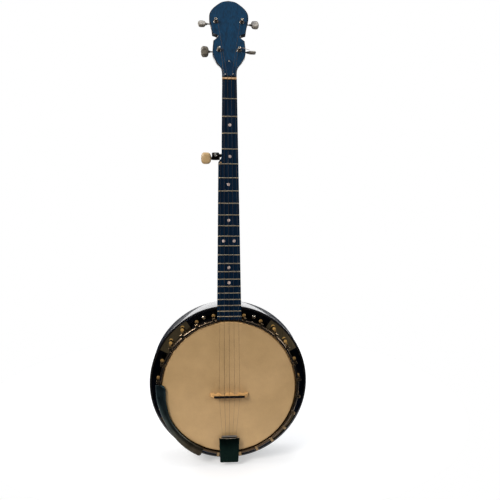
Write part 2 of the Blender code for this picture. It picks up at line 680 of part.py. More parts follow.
# ---------------------------------------------------------------- the tuners
def make_tuner(name, base, finish, side, turn, button_distance, wood, waist, button_finish, button_size,
               stub=0.0):
    """One geared tuner around an empty whose origin is the post's axis at the surface of the wood.

    side is 1 where the button stands out to the empty's +X and -1 to its -X. wood is the thickness between
    the collar and the housing, waist the height where the string winds, and stub the length of a fixing
    pin beside it.
    """
    level = -wood - GEAR_LEVEL
    low, high = -HOUSING_LOW, HOUSING_HIGH
    bottom = -wood - GAP - HOUSING_DEPTH
    wall = HOUSING_WALL

    def case(bm):
        add_box(bm, (-HOUSING_HALF_LENGTH, low, bottom), (HOUSING_HALF_LENGTH, high, -wood - GAP))

    def sleeve(bm):
        add_cylinder(bm, SLEEVE_RADIUS, (0, 0, -wood - GAP - wall / 2), (0, 0, GAP + wall / 2), 12)

    def collar(bm):
        add_cylinder(bm, COLLAR_RADIUS, (0, 0, GAP), (0, 0, GAP + COLLAR_THICKNESS), 14)

    def hollow(bm):
        add_box(bm, (-HOUSING_HALF_LENGTH + wall, low + wall, bottom + wall),
                (HOUSING_HALF_LENGTH - wall, high - wall, -wood - GAP - wall))

    def bores(bm):
        add_cylinder(bm, BORE_RADIUS, (0, 0, level + 0.001), (0, 0, 0.01), 12)

    def shaft_bore(bm):
        start = Vector((0, -WORM_OFFSET, level))
        add_cylinder(bm, SHAFT_RADIUS + 0.0004, start, start + Vector((side * 0.02, 0, 0)), 10)

    housing = place(f"tuner_housing_{name}", solid(f"tuner_housing_{name}", case), finish["chrome"], base)
    bevel = housing.modifiers.new("rounded", "BEVEL")
    bevel.width = 0.0006
    bevel.segments = 1
    boolean(housing, place(f"sleeve_{name}", solid("sleeve", sleeve), parent=base), "UNION")
    boolean(housing, place(f"collar_{name}", solid("collar", collar), parent=base), "UNION")
    if stub:
        def fixing(bm):
            start = -side * (HOUSING_HALF_LENGTH - wall / 2)
            add_cylinder(bm, 0.0035, (start, 0, level), (start - side * stub, 0, level), 12)

        boolean(housing, place(f"stub_{name}", solid("stub", fixing), parent=base), "UNION")
    boolean(housing, place(f"hollow_{name}", solid("hollow", hollow), parent=base))
    boolean(housing, place(f"bore_{name}", solid("bore", bores), parent=base))
    boolean(housing, place(f"shaft_bore_{name}", solid("shaft_bore", shaft_bore), parent=base))

    # The post with its gear, turned about its own axis
    gear_front = level + GEAR_THICKNESS / 2
    gear_back = level - GEAR_THICKNESS / 2
    top = waist + 0.0085
    profile = ((0.0, top), (POST_RADIUS - 0.0008, top), (POST_RADIUS, top - 0.0008),
               (POST_RADIUS, waist + 0.0055),
               (WAIST_RADIUS, waist + 0.0045), (WAIST_RADIUS, waist + 0.0008), (POST_RADIUS, waist),
               (POST_RADIUS, gear_front), (GEAR_RADIUS, gear_front), (GEAR_RADIUS, gear_back),
               (0.0, gear_back))
    turned(f"tuner_post_{name}", profile, finish["chrome"], base, closed=False, steps=14)

    # The worm, its shaft and the button, with their origin on the shaft's axis
    half, reach, thick = button_size[0] / 2, button_size[1] / 2, button_size[2] / 2
    centre = button_distance

    def worm(bm):
        inner = HOUSING_HALF_LENGTH - wall - GAP
        add_cylinder(bm, WORM_RADIUS + 0.0001, (-side * inner, 0, 0), (side * inner, 0, 0), 10)

    def shaft(bm):
        add_cylinder(bm, SHAFT_RADIUS, (0, 0, 0), (side * (centre - half + 0.001), 0, 0), 10)

    def ferrule(bm):
        start = max(centre - half - 0.0035, HOUSING_HALF_LENGTH + 2 * GAP)
        add_cylinder(bm, 0.0021, (side * start, 0, 0), (side * (centre - half + 0.001), 0, 0), 10, 0.0031)

    def grip(bm):
        corners = ((-1.0, 0.42), (-0.72, 0.80), (-0.25, 1.0), (0.45, 0.96), (0.90, 0.70), (1.0, 0.40))
        edge = [(x, y) for x, y in corners] + [(x, -y) for x, y in reversed(corners)]
        loops = []
        for height, scale in ((-1.0, 0.80), (-0.45, 1.0), (0.45, 1.0), (1.0, 0.80)):
            loops.append([bm.verts.new((side * (centre + half * scale * x), reach * scale * y,
                                        thick * height)) for x, y in edge])
        for first, second in zip(loops, loops[1:]):
            for k in range(len(edge)):
                n = (k + 1) % len(edge)
                bm.faces.new((first[k], first[n], second[n], second[k]))
        bm.faces.new(loops[0])
        bm.faces.new(loops[-1])
        bmesh.ops.recalc_face_normals(bm, faces=bm.faces)

    button = place(f"tuner_button_{name}", solid(f"tuner_button_{name}", grip), finish[button_finish], base,
                   location=(0, -WORM_OFFSET, level), rotation=(math.radians(90 * turn), 0, 0))
    for label, build in (("ferrule", ferrule), ("shaft", shaft), ("worm", worm)):
        boolean(button, place(f"{label}_{name}", solid(label, build), parent=base,
                              location=(0, -WORM_OFFSET, level)), "UNION")


def make_tuners(neck, peghead, finish):
    for name, (x, y, button_x, turn) in PEGHEAD_TUNERS.items():
        # Turned half round the post, so that the worm lies above it
        base = empty(f"tuner_{name}", peghead, (x, y, 0), (0, 0, math.pi))
        side = -1 if x > 0 else 1
        make_tuner(name, base, finish, side, turn, abs(button_x - x), PEGHEAD_THICKNESS, PEGHEAD_WAIST,
                   "pearl", BUTTON_SIZE)
    x, y = FIFTH_POST
    base = empty("tuner_fifth", neck, (x, y, FIFTH_FACE))
    make_tuner("fifth", base, finish, -1, 0.0, abs(FIFTH_BUTTON_X - x), 0.0, FIFTH_WAIST, "cream",
               FIFTH_BUTTON_SIZE, stub=0.0095)


# ---------------------------------------------------------------- bridge, tailpiece and strings
def make_bridge(pot, finish):
    half = BRIDGE_BASE / 2
    top = BRIDGE_TOP / 2
    arch = [(0.0065 + 0.0130 * k / 6, 0.0078 * math.sin(math.pi * k / 6) ** 0.6) for k in range(7)]
    right = [(0.0, 0.0), *arch, (0.0245, 0.0), (0.0262, 0.0030), (0.0285, 0.0044), (0.0310, 0.0030),
             (0.0325, 0.0), (half, 0.0), (half, 0.0030), (top + 0.0022, 0.0092), (top, BRIDGE_HEIGHT)]
    outline = right + [(-x, y) for x, y in reversed(right[1:])]
    bridge = plate("bridge", outline, BRIDGE_FOOT_THICKNESS, finish["maple"], pot,
                   location=(0, -BRIDGE_BELOW_AXIS, HEAD_FRONT + GAP), rotation=(math.radians(90), 0, 0))
    # Both faces lean in towards the top
    for vertex in bridge.data.vertices:
        rise = vertex.co.y / BRIDGE_HEIGHT
        vertex.co.z *= 1 + (BRIDGE_TOP_THICKNESS / BRIDGE_FOOT_THICKNESS - 1) * rise

    def strip(bm):
        low = HEAD_FRONT + 2 * GAP + BRIDGE_HEIGHT
        add_box(bm, (-top, -BRIDGE_BELOW_AXIS - 0.0015, low),
                (top, -BRIDGE_BELOW_AXIS + 0.0015, low + SADDLE_HEIGHT))

    place("bridge_saddle", solid("bridge_saddle", strip), finish["ebony"], pot)


def cover_half_width(y, inset=0.0):
    t = (y - COVER_FRONT) / (COVER_BACK - COVER_FRONT)
    return (COVER_FRONT_WIDTH + (COVER_BACK_WIDTH - COVER_FRONT_WIDTH) * t) / 2 - inset


def make_tailpiece(pot, finish):
    half = TAIL_PLATE_WIDTH / 2
    top = TAIL_PLATE_HEIGHT + TAIL_PLATE_THICKNESS
    pin_y, pin_z = TAIL_PIN

    def sheet(bm):
        add_box(bm, (-half, TAIL_PLATE_BACK, TAIL_PLATE_HEIGHT), (half, TAIL_FRONT, top))

    def hanger(bm):
        add_box(bm, (-0.0140, -HANGER_INNER - HANGER_THICKNESS, ROD_HEIGHT - 0.009),
                (0.0140, -HANGER_INNER, TAIL_PLATE_HEIGHT + 0.0008))

    def ears(bm):
        for side in (-1, 1):
            near, far = sorted((side * (half - 0.0016), side * half))
            add_box(bm, (near, pin_y - 0.0012, TAIL_PLATE_HEIGHT + 0.0004),
                    (far, TAIL_PLATE_BACK + 0.004, pin_z + 0.0012))

    def pin(bm):
        reach = cover_half_width(pin_y) - 0.0003
        add_cylinder(bm, TAIL_PIN_RADIUS, (-reach, pin_y, pin_z), (reach, pin_y, pin_z), 12)

    def loop_posts(bm):
        for order in range(-2, 3):
            add_cylinder(bm, 0.0011, (order * TAIL_SPACING, LOOP_POST_Y, top - 0.0005),
                         (order * TAIL_SPACING, LOOP_POST_Y, top + 0.0022), 8)

    base = place("tailpiece_base", solid("tailpiece_base", sheet), finish["chrome"], pot)
    for label, build in (("hanger", hanger), ("ears", ears), ("pin", pin), ("loop_posts", loop_posts)):
        boolean(base, place(f"tail_{label}", solid(label, build), parent=pot), "UNION")

    def hanger_hole(bm):
        add_cylinder(bm, STUD_HOLE, (0, -0.16, ROD_HEIGHT), (0, -0.14, ROD_HEIGHT), 12)

    boolean(base, place("hanger_hole", solid("hanger_hole", hanger_hole), parent=pot))

    # The cover is a thin tray, open below and in front, hinged on the pin behind
    def tray(inset, low, high, front, back):
        def build(bm):
            levels = ((low, 0.0), (high - 0.0012, 0.0), (high, 0.0012))
            loops = []
            for height, tuck in levels:
                ends = ((front - tuck, front), (back + tuck, back))
                right = [(cover_half_width(y, inset) - tuck, end) for end, y in ends]
                loops.append([bm.verts.new((x, y, height)) for x, y in
                              (right[0], right[1], (-right[1][0], right[1][1]), (-right[0][0], right[0][1]))])
            for first, second in zip(loops, loops[1:]):
                for k in range(4):
                    n = (k + 1) % 4
                    bm.faces.new((first[k], first[n], second[n], second[k]))
            bm.faces.new(loops[0])
            bm.faces.new(loops[-1])
            bmesh.ops.recalc_face_normals(bm, faces=bm.faces)
        return build

    shift = Matrix.Translation((0, -pin_y, -pin_z))
    cover_mesh = solid("tailpiece_cover", tray(0.0, COVER_LOW, COVER_HIGH, COVER_FRONT, COVER_BACK))
    cover_mesh.transform(shift)
    cover = place("tailpiece_cover", cover_mesh, finish["dark_chrome"], pot, location=(0, pin_y, pin_z))
    inside = tray(COVER_WALL, COVER_LOW - 0.005, COVER_HIGH - COVER_WALL, COVER_FRONT + 0.004,
                  COVER_BACK + COVER_WALL)
    boolean(cover, place("cover_inside", solid("cover_inside", inside), parent=pot))

    def pin_hole(bm):
        add_cylinder(bm, TAIL_PIN_RADIUS + 0.0004, (-0.03, pin_y, pin_z), (0.03, pin_y, pin_z), 12)

    boolean(cover, place("cover_pin_hole", solid("cover_pin_hole", pin_hole), parent=pot))


def winding(post, start, radius, side, level):
    """Points of a string that meets the post's inner side and winds round it, going down."""
    centre = Vector(post)
    toward = centre - Vector(start)
    distance = toward.length
    heading = math.atan2(toward.y, toward.x) + side * math.asin(radius / distance)
    reach = math.sqrt(distance * distance - radius * radius)
    touch = Vector(start) + reach * Vector((math.cos(heading), math.sin(heading)))
    first = math.atan2(touch.y - centre.y, touch.x - centre.x)
    points = []
    for k in range(int(TURNS_ON_POST * POINTS_A_TURN) + 1):
        turn = k / POINTS_A_TURN
        angle = first - side * 2 * math.pi * turn
        points.append((centre.x + radius * math.cos(angle), centre.y + radius * math.sin(angle),
                       level - TURN_PITCH * turn))
    return points


def make_string(name, order, frames, finish):
    """From its loop post, over the bridge and the nut, to the windings on its tuner's post."""
    pot, neck, peghead = frames
    radius = STRING_RADII[name]
    plate_top = TAIL_PLATE_HEIGHT + TAIL_PLATE_THICKNESS
    saddle_top = HEAD_FRONT + 2 * GAP + BRIDGE_HEIGHT + SADDLE_HEIGHT
    lift = GAP + radius
    place_in = [(pot, (order * TAIL_SPACING, LOOP_POST_Y + 0.0016, plate_top + lift)),
                (pot, (order * TAIL_SPACING, TAIL_FRONT, plate_top + lift)),
                (pot, (order * BRIDGE_SPACING, -BRIDGE_BELOW_AXIS - 0.0012, saddle_top + lift)),
                (pot, (order * BRIDGE_SPACING, -BRIDGE_BELOW_AXIS + 0.0012, saddle_top + lift))]
    coil = WAIST_RADIUS + GAP + radius
    if name == "fifth":
        x, y = FIFTH_POST
        place_in.append((neck, FIFTH_PIP))
        level = FIFTH_FACE + FIFTH_WAIST + WINDING_LEVEL
        place_in += [(neck, point) for point in winding((x, y), FIFTH_PIP[:2], coil, -1, level)]
    else:
        x, y, _, _ = PEGHEAD_TUNERS[name]
        nut_x = nut_string_x(order - 0.5)
        slot = NUT_TOP - SLOT_DEPTH + lift
        place_in += [(neck, (nut_x, GAP, slot)), (neck, (nut_x, NUT_THICKNESS, slot))]
        side = 1 if x > 0 else -1
        level = PEGHEAD_WAIST + WINDING_LEVEL
        place_in += [(peghead, point) for point in winding((x, y), (nut_x, 0.0), coil, side, level)]

    curve = bpy.data.curves.new(f"string_{name}", "CURVE")
    curve.dimensions = "3D"
    curve.bevel_depth = radius
    curve.bevel_resolution = 1
    curve.use_fill_caps = True
    spline = curve.splines.new("POLY")
    spline.points.add(len(place_in) - 1)
    for point, (frame, local) in zip(spline.points, place_in):
        point.co = (*(frame.matrix_world @ Vector(local)), 1)
    drawn = place(f"string_{name}_path", curve)
    mesh = evaluated_mesh(drawn)
    bpy.data.objects.remove(drawn)
    place(f"string_{name}", mesh, finish["steel"])


def main():
    clear_scene()
    for collection in (parts, cutters):
        bpy.context.scene.collection.children.link(collection)
    finish = make_finishes()
    pot = empty("pot", rotation=(math.radians(90), 0, 0))
    plane_at_nut = HEAD_FRONT + PLANE_AT_POT - POT_EDGE * math.sin(NECK_TILT)
    neck = empty("neck_frame", location=(0, -plane_at_nut, NUT_HEIGHT),
                 rotation=(math.radians(90) - NECK_TILT, 0, 0))
    peghead = empty("peghead_frame", neck, (0, NUT_THICKNESS, -FINGERBOARD_THICKNESS - GAP),
                    (-PEGHEAD_TILT, 0, 0))
    bpy.context.view_layer.update()

    def bore(bm):
        add_cylinder(bm, STUD_HOLE, (0, -0.150, ROD_HEIGHT), (0, STUD_IN_HEEL + 0.001, ROD_HEIGHT), 12)

    stud_hole = place("stud_hole", solid("stud_hole", bore), parent=pot)
    make_resonator(pot, finish)
    make_flange(pot, finish)
    make_rim(pot, finish, stud_hole)
    make_drum_head(pot, finish)
    make_hoop(pot, finish)
    make_hooks(pot, finish)
    make_rod(pot, finish)
    make_armrest(pot, finish)
    make_neck(neck, peghead, pot, finish, stud_hole)
    make_fingerboard(neck, finish)
    make_nut(neck, finish)
    make_tuners(neck, peghead, finish)
    make_bridge(pot, finish)
    make_tailpiece(pot, finish)
    for order, name in zip(range(-2, 3), ("fifth", "fourth", "third", "second", "first")):
        make_string(name, order, (pot, neck, peghead), finish)


main()
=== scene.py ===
import json
import math

import bmesh
import bpy
from mathutils import Matrix, Vector


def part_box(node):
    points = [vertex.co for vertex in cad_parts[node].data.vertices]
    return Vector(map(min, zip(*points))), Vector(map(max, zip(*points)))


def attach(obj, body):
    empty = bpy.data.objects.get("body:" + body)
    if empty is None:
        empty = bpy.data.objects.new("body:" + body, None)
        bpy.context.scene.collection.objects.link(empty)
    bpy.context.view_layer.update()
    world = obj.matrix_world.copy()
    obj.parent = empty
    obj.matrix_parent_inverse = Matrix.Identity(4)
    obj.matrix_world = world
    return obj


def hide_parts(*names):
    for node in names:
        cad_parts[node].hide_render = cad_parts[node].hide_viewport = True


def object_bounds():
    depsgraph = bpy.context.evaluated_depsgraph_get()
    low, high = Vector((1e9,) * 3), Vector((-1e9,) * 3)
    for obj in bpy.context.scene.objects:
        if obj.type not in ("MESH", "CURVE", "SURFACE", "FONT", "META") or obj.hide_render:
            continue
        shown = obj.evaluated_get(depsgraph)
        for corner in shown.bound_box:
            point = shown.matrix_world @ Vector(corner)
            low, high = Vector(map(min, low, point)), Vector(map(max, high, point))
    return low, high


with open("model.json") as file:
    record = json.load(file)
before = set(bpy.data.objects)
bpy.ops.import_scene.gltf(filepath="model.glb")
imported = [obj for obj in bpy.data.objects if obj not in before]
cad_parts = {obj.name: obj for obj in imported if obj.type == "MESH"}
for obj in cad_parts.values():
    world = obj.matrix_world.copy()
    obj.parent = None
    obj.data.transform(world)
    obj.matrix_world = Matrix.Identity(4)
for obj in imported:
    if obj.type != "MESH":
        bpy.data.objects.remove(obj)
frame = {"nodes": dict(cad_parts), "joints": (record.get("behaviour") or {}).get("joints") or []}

# The looks of the five-string banjo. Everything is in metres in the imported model's frame: +Z up along the
# neck, the playing side faces -Y, and the origin is the centre of the resonator's flat back. Fine meshes are
# drawn in one of three local frames, each with X to the right, Y towards the peghead and Z out towards the
# player: the pot's, the neck's (at the nut, on the fingerboard's surface) and the peghead's (on its face).
cad_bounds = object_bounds()

FINE_STEPS = 180                 # sides of the pot's turned rings
GAP = 0.0003                     # clearance between neighbouring pieces


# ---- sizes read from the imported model
def low(node):
    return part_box(node)[0]


def high(node):
    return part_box(node)[1]


HEAD_FRONT = -low("drum_head").y
HEAD_EDGE = high("drum_head").x
HOOP_INNER = HEAD_EDGE + GAP
HOOP_OUTER = high("tension_hoop").x
HOOP_BACK = -high("tension_hoop").y
HOOP_FRONT = -low("tension_hoop").y
RESONATOR_OUTER = high("resonator_side").x
RESONATOR_FRONT = -low("resonator_side").y
RESONATOR_INNER = high("flange").x + GAP
RESONATOR_FLOOR = -low("resonator_back").y
RESONATOR_CORNER = 0.012
FLANGE_BACK = -high("flange").y
FLANGE_BEAD = -low("flange").y
FLANGE_FRONT = RESONATOR_FRONT
FLANGE_INNER = 0.1403
OPENING = (33.5, 63.0)           # degrees from the neck on each side, and again from the tail
OPENING_RADII = (0.1425, 0.1636)
HOOK_ANGLES = [side * (12.5 + 14.4 * k) for side in (1, -1) for k in range(12)]
HOOK_RADIUS = 0.1505
HOOP_NOTCH = 0.0024              # depth of the notch under each claw
HOOK_BACK = -high("tension_hook_01").y
SHOE_BACK = 0.038
SHOE_FRONT = 0.048
ROD_HEIGHT = -(low("coordinator_rod").y + high("coordinator_rod").y) / 2

NECK_TILT = math.radians(1.85)
PEGHEAD_TILT = math.radians(13)
BOARD_THICKNESS = 0.0055
BOARD_END = 0.4868
NUT_THICKNESS = 0.0040
NUT_TOP = 0.0022
NUT_HALF_WIDTH = 0.0147
SCALE_LENGTH = 0.667
FRETS = 22
DOTTED = (3, 5, 7, 10, 12, 15, 17)



def at(x, y, z=0.0):
    return Matrix.Translation((x, y, z))


def turn(degrees, axis="Z"):
    return Matrix.Rotation(math.radians(degrees), 4, axis)


POT = turn(90, "X")
NECK = (Matrix.Translation((0, high("fingerboard").y - BOARD_THICKNESS * math.cos(NECK_TILT),
                            high("fingerboard").z))
        @ Matrix.Rotation(math.radians(90) - NECK_TILT, 4, "X"))
PEGHEAD = (NECK @ Matrix.Translation((0, NUT_THICKNESS, -BOARD_THICKNESS - GAP))
           @ Matrix.Rotation(-PEGHEAD_TILT, 4, "X"))
JOINTS = {joint["name"]: Vector(joint["pos_m"]) for joint in frame["joints"]}


# ---- camera, light and floor
def make_camera():
    data = bpy.data.cameras.new("camera")
    data.lens = 42.49
    data.sensor_width = 36
    camera = bpy.data.objects.new("camera", data)
    pitch, yaw, roll = 0.1132, 0.0782, 0.0056
    camera.location = (-0.05186, -1.295, 0.42736)
    camera.rotation_euler = (Matrix.Rotation(-yaw, 4, "Z") @ Matrix.Rotation(math.pi / 2 - pitch, 4, "X")
                             @ Matrix.Rotation(roll, 4, "Z")).to_euler()
    bpy.context.scene.collection.objects.link(camera)
    bpy.context.scene.camera = camera


def make_light(name, place, target, size, power, color=(1, 1, 1), height=None):
    data = bpy.data.lights.new(name, "AREA")
    data.shape = "RECTANGLE" if height else "DISK"
    data.size = size
    if height:
        data.size_y = height
    data.energy = power
    data.color = color
    lamp = bpy.data.objects.new(name, data)
    lamp.location = place
    lamp.rotation_euler = (Vector(target) - Vector(place)).to_track_quat("-Z", "Y").to_euler()
    lamp.visible_camera = False
    bpy.context.scene.collection.objects.link(lamp)


def make_studio():
    make_light("key", (-1.5, -1.7, 1.5), (0, 0, 0.2), 1.1, 52, (1.0, 0.97, 0.93))
    make_light("fill", (1.8, -1.4, 0.9), (0, 0, 0.2), 0.9, 14, (0.93, 0.97, 1.0))
    make_light("top", (0.1, 0.1, 2.0), (0, 0, 0.1), 1.2, 14)
    make_light("back_left", (-1.3, 1.5, 1.1), (0, 0, 0.2), 0.8, 12)
    make_light("back_right", (1.4, 1.3, 0.6), (0, 0, 0.2), 0.7, 8)
    make_light("sky_strip", (-0.1, 1.7, 0.62), (0, 0, 0.15), 2.6, 6.5, height=0.42)
    make_world()
    bpy.context.scene.view_settings.view_transform = "Standard"


def add_node(tree, kind, settings=None, **inputs):
    """A shader node; each input takes a value, or a link when it is given another node's output."""
    made = tree.nodes.new("ShaderNode" + kind)
    for key, value in (settings or {}).items():
        setattr(made, key, value)
    for key, value in inputs.items():
        socket = made.inputs[key.replace("_", " ")]
        if isinstance(value, bpy.types.NodeSocket):
            tree.links.new(value, socket)
        else:
            socket.default_value = value
    return made


def add_ramp(tree, value, *stops):
    made = add_node(tree, "ValToRGB", Fac=value)
    elements = made.color_ramp.elements
    while len(elements) < len(stops):
        elements.new(0.5)
    for element, (position, color) in zip(elements, stops):
        element.position = position
        element.color = (*color, 1.0)
    return made.outputs["Color"]


def make_world():
    """White to the camera, and to everything else a room that is dark below and pale above."""
    world = bpy.data.worlds.new("studio")
    world.use_nodes = True
    tree = world.node_tree
    tree.nodes.clear()
    seen = add_node(tree, "Background", Color=(1, 1, 1, 1), Strength=1.0)
    place = add_node(tree, "TexCoord").outputs["Generated"]
    height = add_node(tree, "SeparateXYZ", Vector=place).outputs["Z"]
    rise = add_node(tree, "MapRange", Value=height, From_Min=-1.0).outputs["Result"]
    shade = add_ramp(tree, rise, (0.50, (0.05, 0.07, 0.11)), (0.95, (1.1, 1.15, 1.25)))
    room = add_node(tree, "Background", Color=shade, Strength=0.32)
    mix = add_node(tree, "MixShader", Fac=add_node(tree, "LightPath").outputs["Is Camera Ray"])
    tree.links.new(room.outputs[0], mix.inputs[1])
    tree.links.new(seen.outputs[0], mix.inputs[2])
    add_node(tree, "OutputWorld", Surface=mix.outputs[0])
    bpy.context.scene.world = world


def make_floor():
    bm = bmesh.new()
    bmesh.ops.create_circle(bm, cap_ends=True, segments=96, radius=0.66)
    mesh = bpy.data.meshes.new("floor")
    bm.to_mesh(mesh)
    bm.free()
    floor = bpy.data.objects.new("floor", mesh)
    floor.location = (0, 0.34, cad_bounds[0].z - 0.0005)
    look = Look("floor", (0.66, 0.66, 0.66), 0.6)
    look.shader.inputs["Emission Color"].default_value = (1, 1, 1, 1)
    look.shader.inputs["Emission Strength"].default_value = 0.42
    mesh.materials.append(look.material)
    bpy.context.scene.collection.objects.link(floor)


# ---- materials
class Look:
    """A procedural material: a Principled shader, and short calls that build the nodes behind it."""

    def __init__(self, name, color, roughness, metallic=0.0, **values):
        self.material = bpy.data.materials.new(name)
        self.material.use_nodes = True
        self.tree = self.material.node_tree
        self.shader = self.tree.nodes["Principled BSDF"]
        self.shader.inputs["Base Color"].default_value = (*color, 1.0)
        self.shader.inputs["Roughness"].default_value = roughness
        self.shader.inputs["Metallic"].default_value = metallic
        for key, value in values.items():
            self.shader.inputs[key.replace("_", " ").title().replace("Ior", "IOR")].default_value = value
        self.coords = self.tree.nodes.new("ShaderNodeTexCoord").outputs["Object"]

    def node(self, kind, settings=None, **inputs):
        return add_node(self.tree, kind, settings, **inputs)

    def along(self, axis):
        return self.node("SeparateXYZ", Vector=self.coords).outputs[axis]

    def stretched(self, x, y, z):
        return self.node("Mapping", Vector=self.coords, Scale=(x, y, z)).outputs["Vector"]

    def noise(self, scale, detail=4.0, vector=None, roughness=0.55, distortion=0.0):
        return self.node("TexNoise", Vector=vector or self.coords, Scale=scale, Detail=detail,
                         Roughness=roughness, Distortion=distortion).outputs["Fac"]

    def ramp(self, value, *stops):
        return add_ramp(self.tree, value, *stops)

    def span(self, value, start, end, out_start=0.0, out_end=1.0):
        return self.node("MapRange", Value=value, From_Min=start, From_Max=end, To_Min=out_start,
                         To_Max=out_end).outputs["Result"]

    def multiplied(self, first, second):
        made = self.node("Mix", {"data_type": "RGBA", "blend_type": "MULTIPLY"})
        made.inputs[0].default_value = 1.0
        self.tree.links.new(first, made.inputs[6])
        self.tree.links.new(second, made.inputs[7])
        return made.outputs[2]

    def color(self, value):
        self.tree.links.new(value, self.shader.inputs["Base Color"])
        return self

    def rough(self, value):
        self.tree.links.new(value, self.shader.inputs["Roughness"])
        return self

    def bump(self, height, strength, distance=0.0002):
        made = self.node("Bump", Height=height, Strength=strength, Distance=distance)
        self.tree.links.new(made.outputs["Normal"], self.shader.inputs["Normal"])
        return self


def wood(name, dark, light, along, roughness, **values):
    """Grain that runs along one axis: broad figure, and fine lines that also make the bump."""
    look = Look(name, dark, roughness, **values)

    def grain(across, lengthwise):
        return look.stretched(*(lengthwise if axis == along else across for axis in "XYZ"))

    figure = look.noise(1.0, 6.0, grain(55.0, 2.2), 0.62, 0.6)
    lines = look.noise(1.0, 3.0, grain(420.0, 9.0), 0.6)
    base = look.ramp(figure, (0.30, dark), (0.72, light))
    fine = look.ramp(lines, (0.35, (0.62, 0.62, 0.62)), (0.62, (1.15, 1.15, 1.15)))
    look.color(look.multiplied(base, fine))
    look.rough(look.span(lines, 0.3, 0.7, roughness + 0.06, roughness - 0.04))
    return look.bump(lines, 0.06, 0.0001)


def metal(name, color, roughness, warmth=(1.0, 0.94, 0.84), **values):
    """Plated metal: faint clouding of the colour, smudges, and fine wear in the roughness."""
    look = Look(name, color, roughness, 1.0, **values)
    cloud = look.noise(38.0, 3.0)
    wear = look.noise(650.0, 4.0, roughness=0.7)
    look.color(look.ramp(cloud, (0.35, color), (0.68, tuple(c * w for c, w in zip(color, warmth)))))
    both = look.node("Math", {"operation": "ADD"})
    look.tree.links.new(look.span(cloud, 0.3, 0.7, roughness - 0.03, roughness + 0.06), both.inputs[0])
    look.tree.links.new(look.span(wear, 0.35, 0.75, -0.02, 0.07), both.inputs[1])
    look.rough(both.outputs[0])
    return look.bump(wear, 0.04, 0.00005)


def head_look():
    """A drum head: warm cream with broad mottling, faint fibres and handling marks, and a painted highlight
    on its crown at the rim.
    """
    look = Look("calf_head", (0.45, 0.29, 0.14), 0.55)
    broad = look.noise(7.0, 5.0, roughness=0.55, distortion=0.4)
    blotch = look.noise(26.0, 4.0, roughness=0.6)
    fibre = look.noise(1.0, 4.0, look.stretched(900, 40, 260), 0.65)
    base = look.ramp(broad, (0.30, (0.460, 0.293, 0.128)), (0.70, (0.548, 0.353, 0.166)))
    spots = look.ramp(blotch, (0.32, (0.93, 0.92, 0.90)), (0.66, (1.04, 1.03, 1.02)))
    strands = look.ramp(fibre, (0.35, (0.965, 0.96, 0.95)), (0.65, (1.02, 1.02, 1.02)))
    # painted light at the rim: a faint painted shade just inside the crown, then a painted highlight on the
    # crown
    reach = look.node("CombineXYZ", X=look.along("X"), Z=look.along("Z")).outputs[0]
    radius = look.node("VectorMath", {"operation": "LENGTH"}, Vector=reach).outputs["Value"]
    edge = look.ramp(look.span(radius, HEAD_EDGE - 0.006, HEAD_EDGE), (0.0, (1.0, 1.0, 1.0)),
                     (0.45, (0.95, 0.94, 0.92)), (0.72, (1.35, 1.33, 1.26)))
    look.color(look.multiplied(look.multiplied(look.multiplied(base, spots), strands), edge))
    look.rough(look.span(blotch, 0.3, 0.7, 0.48, 0.62))
    return look.bump(look.noise(2200.0, 3.0), 0.10, 0.0001)


def pearl_look(name, dark, light, roughness):
    """Pearloid: soft flakes at many angles, under a clear skin."""
    look = Look(name, light, roughness, specular_ior_level=0.35, coat_weight=0.15, coat_roughness=0.1)
    warp = look.noise(160.0, 3.0, roughness=0.6)
    moved = look.node("VectorMath", {"operation": "MULTIPLY_ADD"}, Vector=look.coords)
    moved.inputs[1].default_value = (1, 1, 1)
    look.tree.links.new(look.node("VectorMath", {"operation": "SCALE"}, Vector=look.node(
        "CombineXYZ", X=warp, Y=warp, Z=warp).outputs[0], Scale=0.006).outputs[0], moved.inputs[2])
    flake = look.node("TexVoronoi", Vector=moved.outputs[0], Scale=230.0).outputs["Color"]
    tone = look.node("SeparateColor", Color=flake).outputs["Red"]
    look.color(look.ramp(tone, (0.10, dark), (0.55, light), (0.95, tuple(min(1.0, c * 1.35) for c in light))))
    look.rough(look.span(tone, 0.0, 1.0, roughness + 0.10, roughness - 0.05))
    return look.bump(look.noise(900.0, 2.0), 0.05, 0.00005)


def plastic(name, color, roughness, **values):
    """Moulded plastic or bone: slight clouding, and scuffs in the roughness and the bump."""
    look = Look(name, color, roughness, **values)
    variation = 0.12
    look.color(look.ramp(look.noise(90.0, 4.0), (0.35, tuple(c * (1 - variation) for c in color)),
                         (0.65, tuple(c * (1 + variation) for c in color))))
    scuff = look.noise(700.0, 4.0, roughness=0.7)
    look.rough(look.span(scuff, 0.35, 0.7, roughness - 0.04, roughness + 0.08))
    return look.bump(scuff, 0.06, 0.00006)


def hook_look():
    """Warm nickel; behind the hoop it carries a painted glow, for the light that comes in by the openings."""
    look = metal("warm_nickel", (0.25, 0.175, 0.100), 0.22)
    # painted glow: emission that brightens the shanks, nuts and washers behind the hoop
    painted_glow = look.ramp(look.span(look.along("Y"), -HOOP_BACK, -SHOE_FRONT),
                     (0.0, (0.0, 0.0, 0.0)), (0.35, (0.38, 0.22, 0.08)), (1.0, (0.95, 0.56, 0.17)))
    look.tree.links.new(painted_glow, look.shader.inputs["Emission Color"])
    look.shader.inputs["Emission Strength"].default_value = 0.34
    return look


def hoop_look():
    """Nickel over brass, with painted shade: lighter above and darker towards its lower edge."""
    look = metal("hoop_nickel", (0.20, 0.145, 0.098), 0.20)
    # painted shade: the colour darkens from the top of the pot down to the hoop's lower edge
    painted_shade = look.ramp(look.span(look.along("Z"), 0.06, -0.12),
                     (0.0, (0.235, 0.172, 0.118)), (1.0, (0.070, 0.049, 0.032)))
    cloud = look.ramp(look.noise(38.0, 3.0), (0.35, (1.0, 1.0, 1.0)), (0.68, (1.0, 0.94, 0.84)))
    look.color(look.multiplied(painted_shade, cloud))
    return look


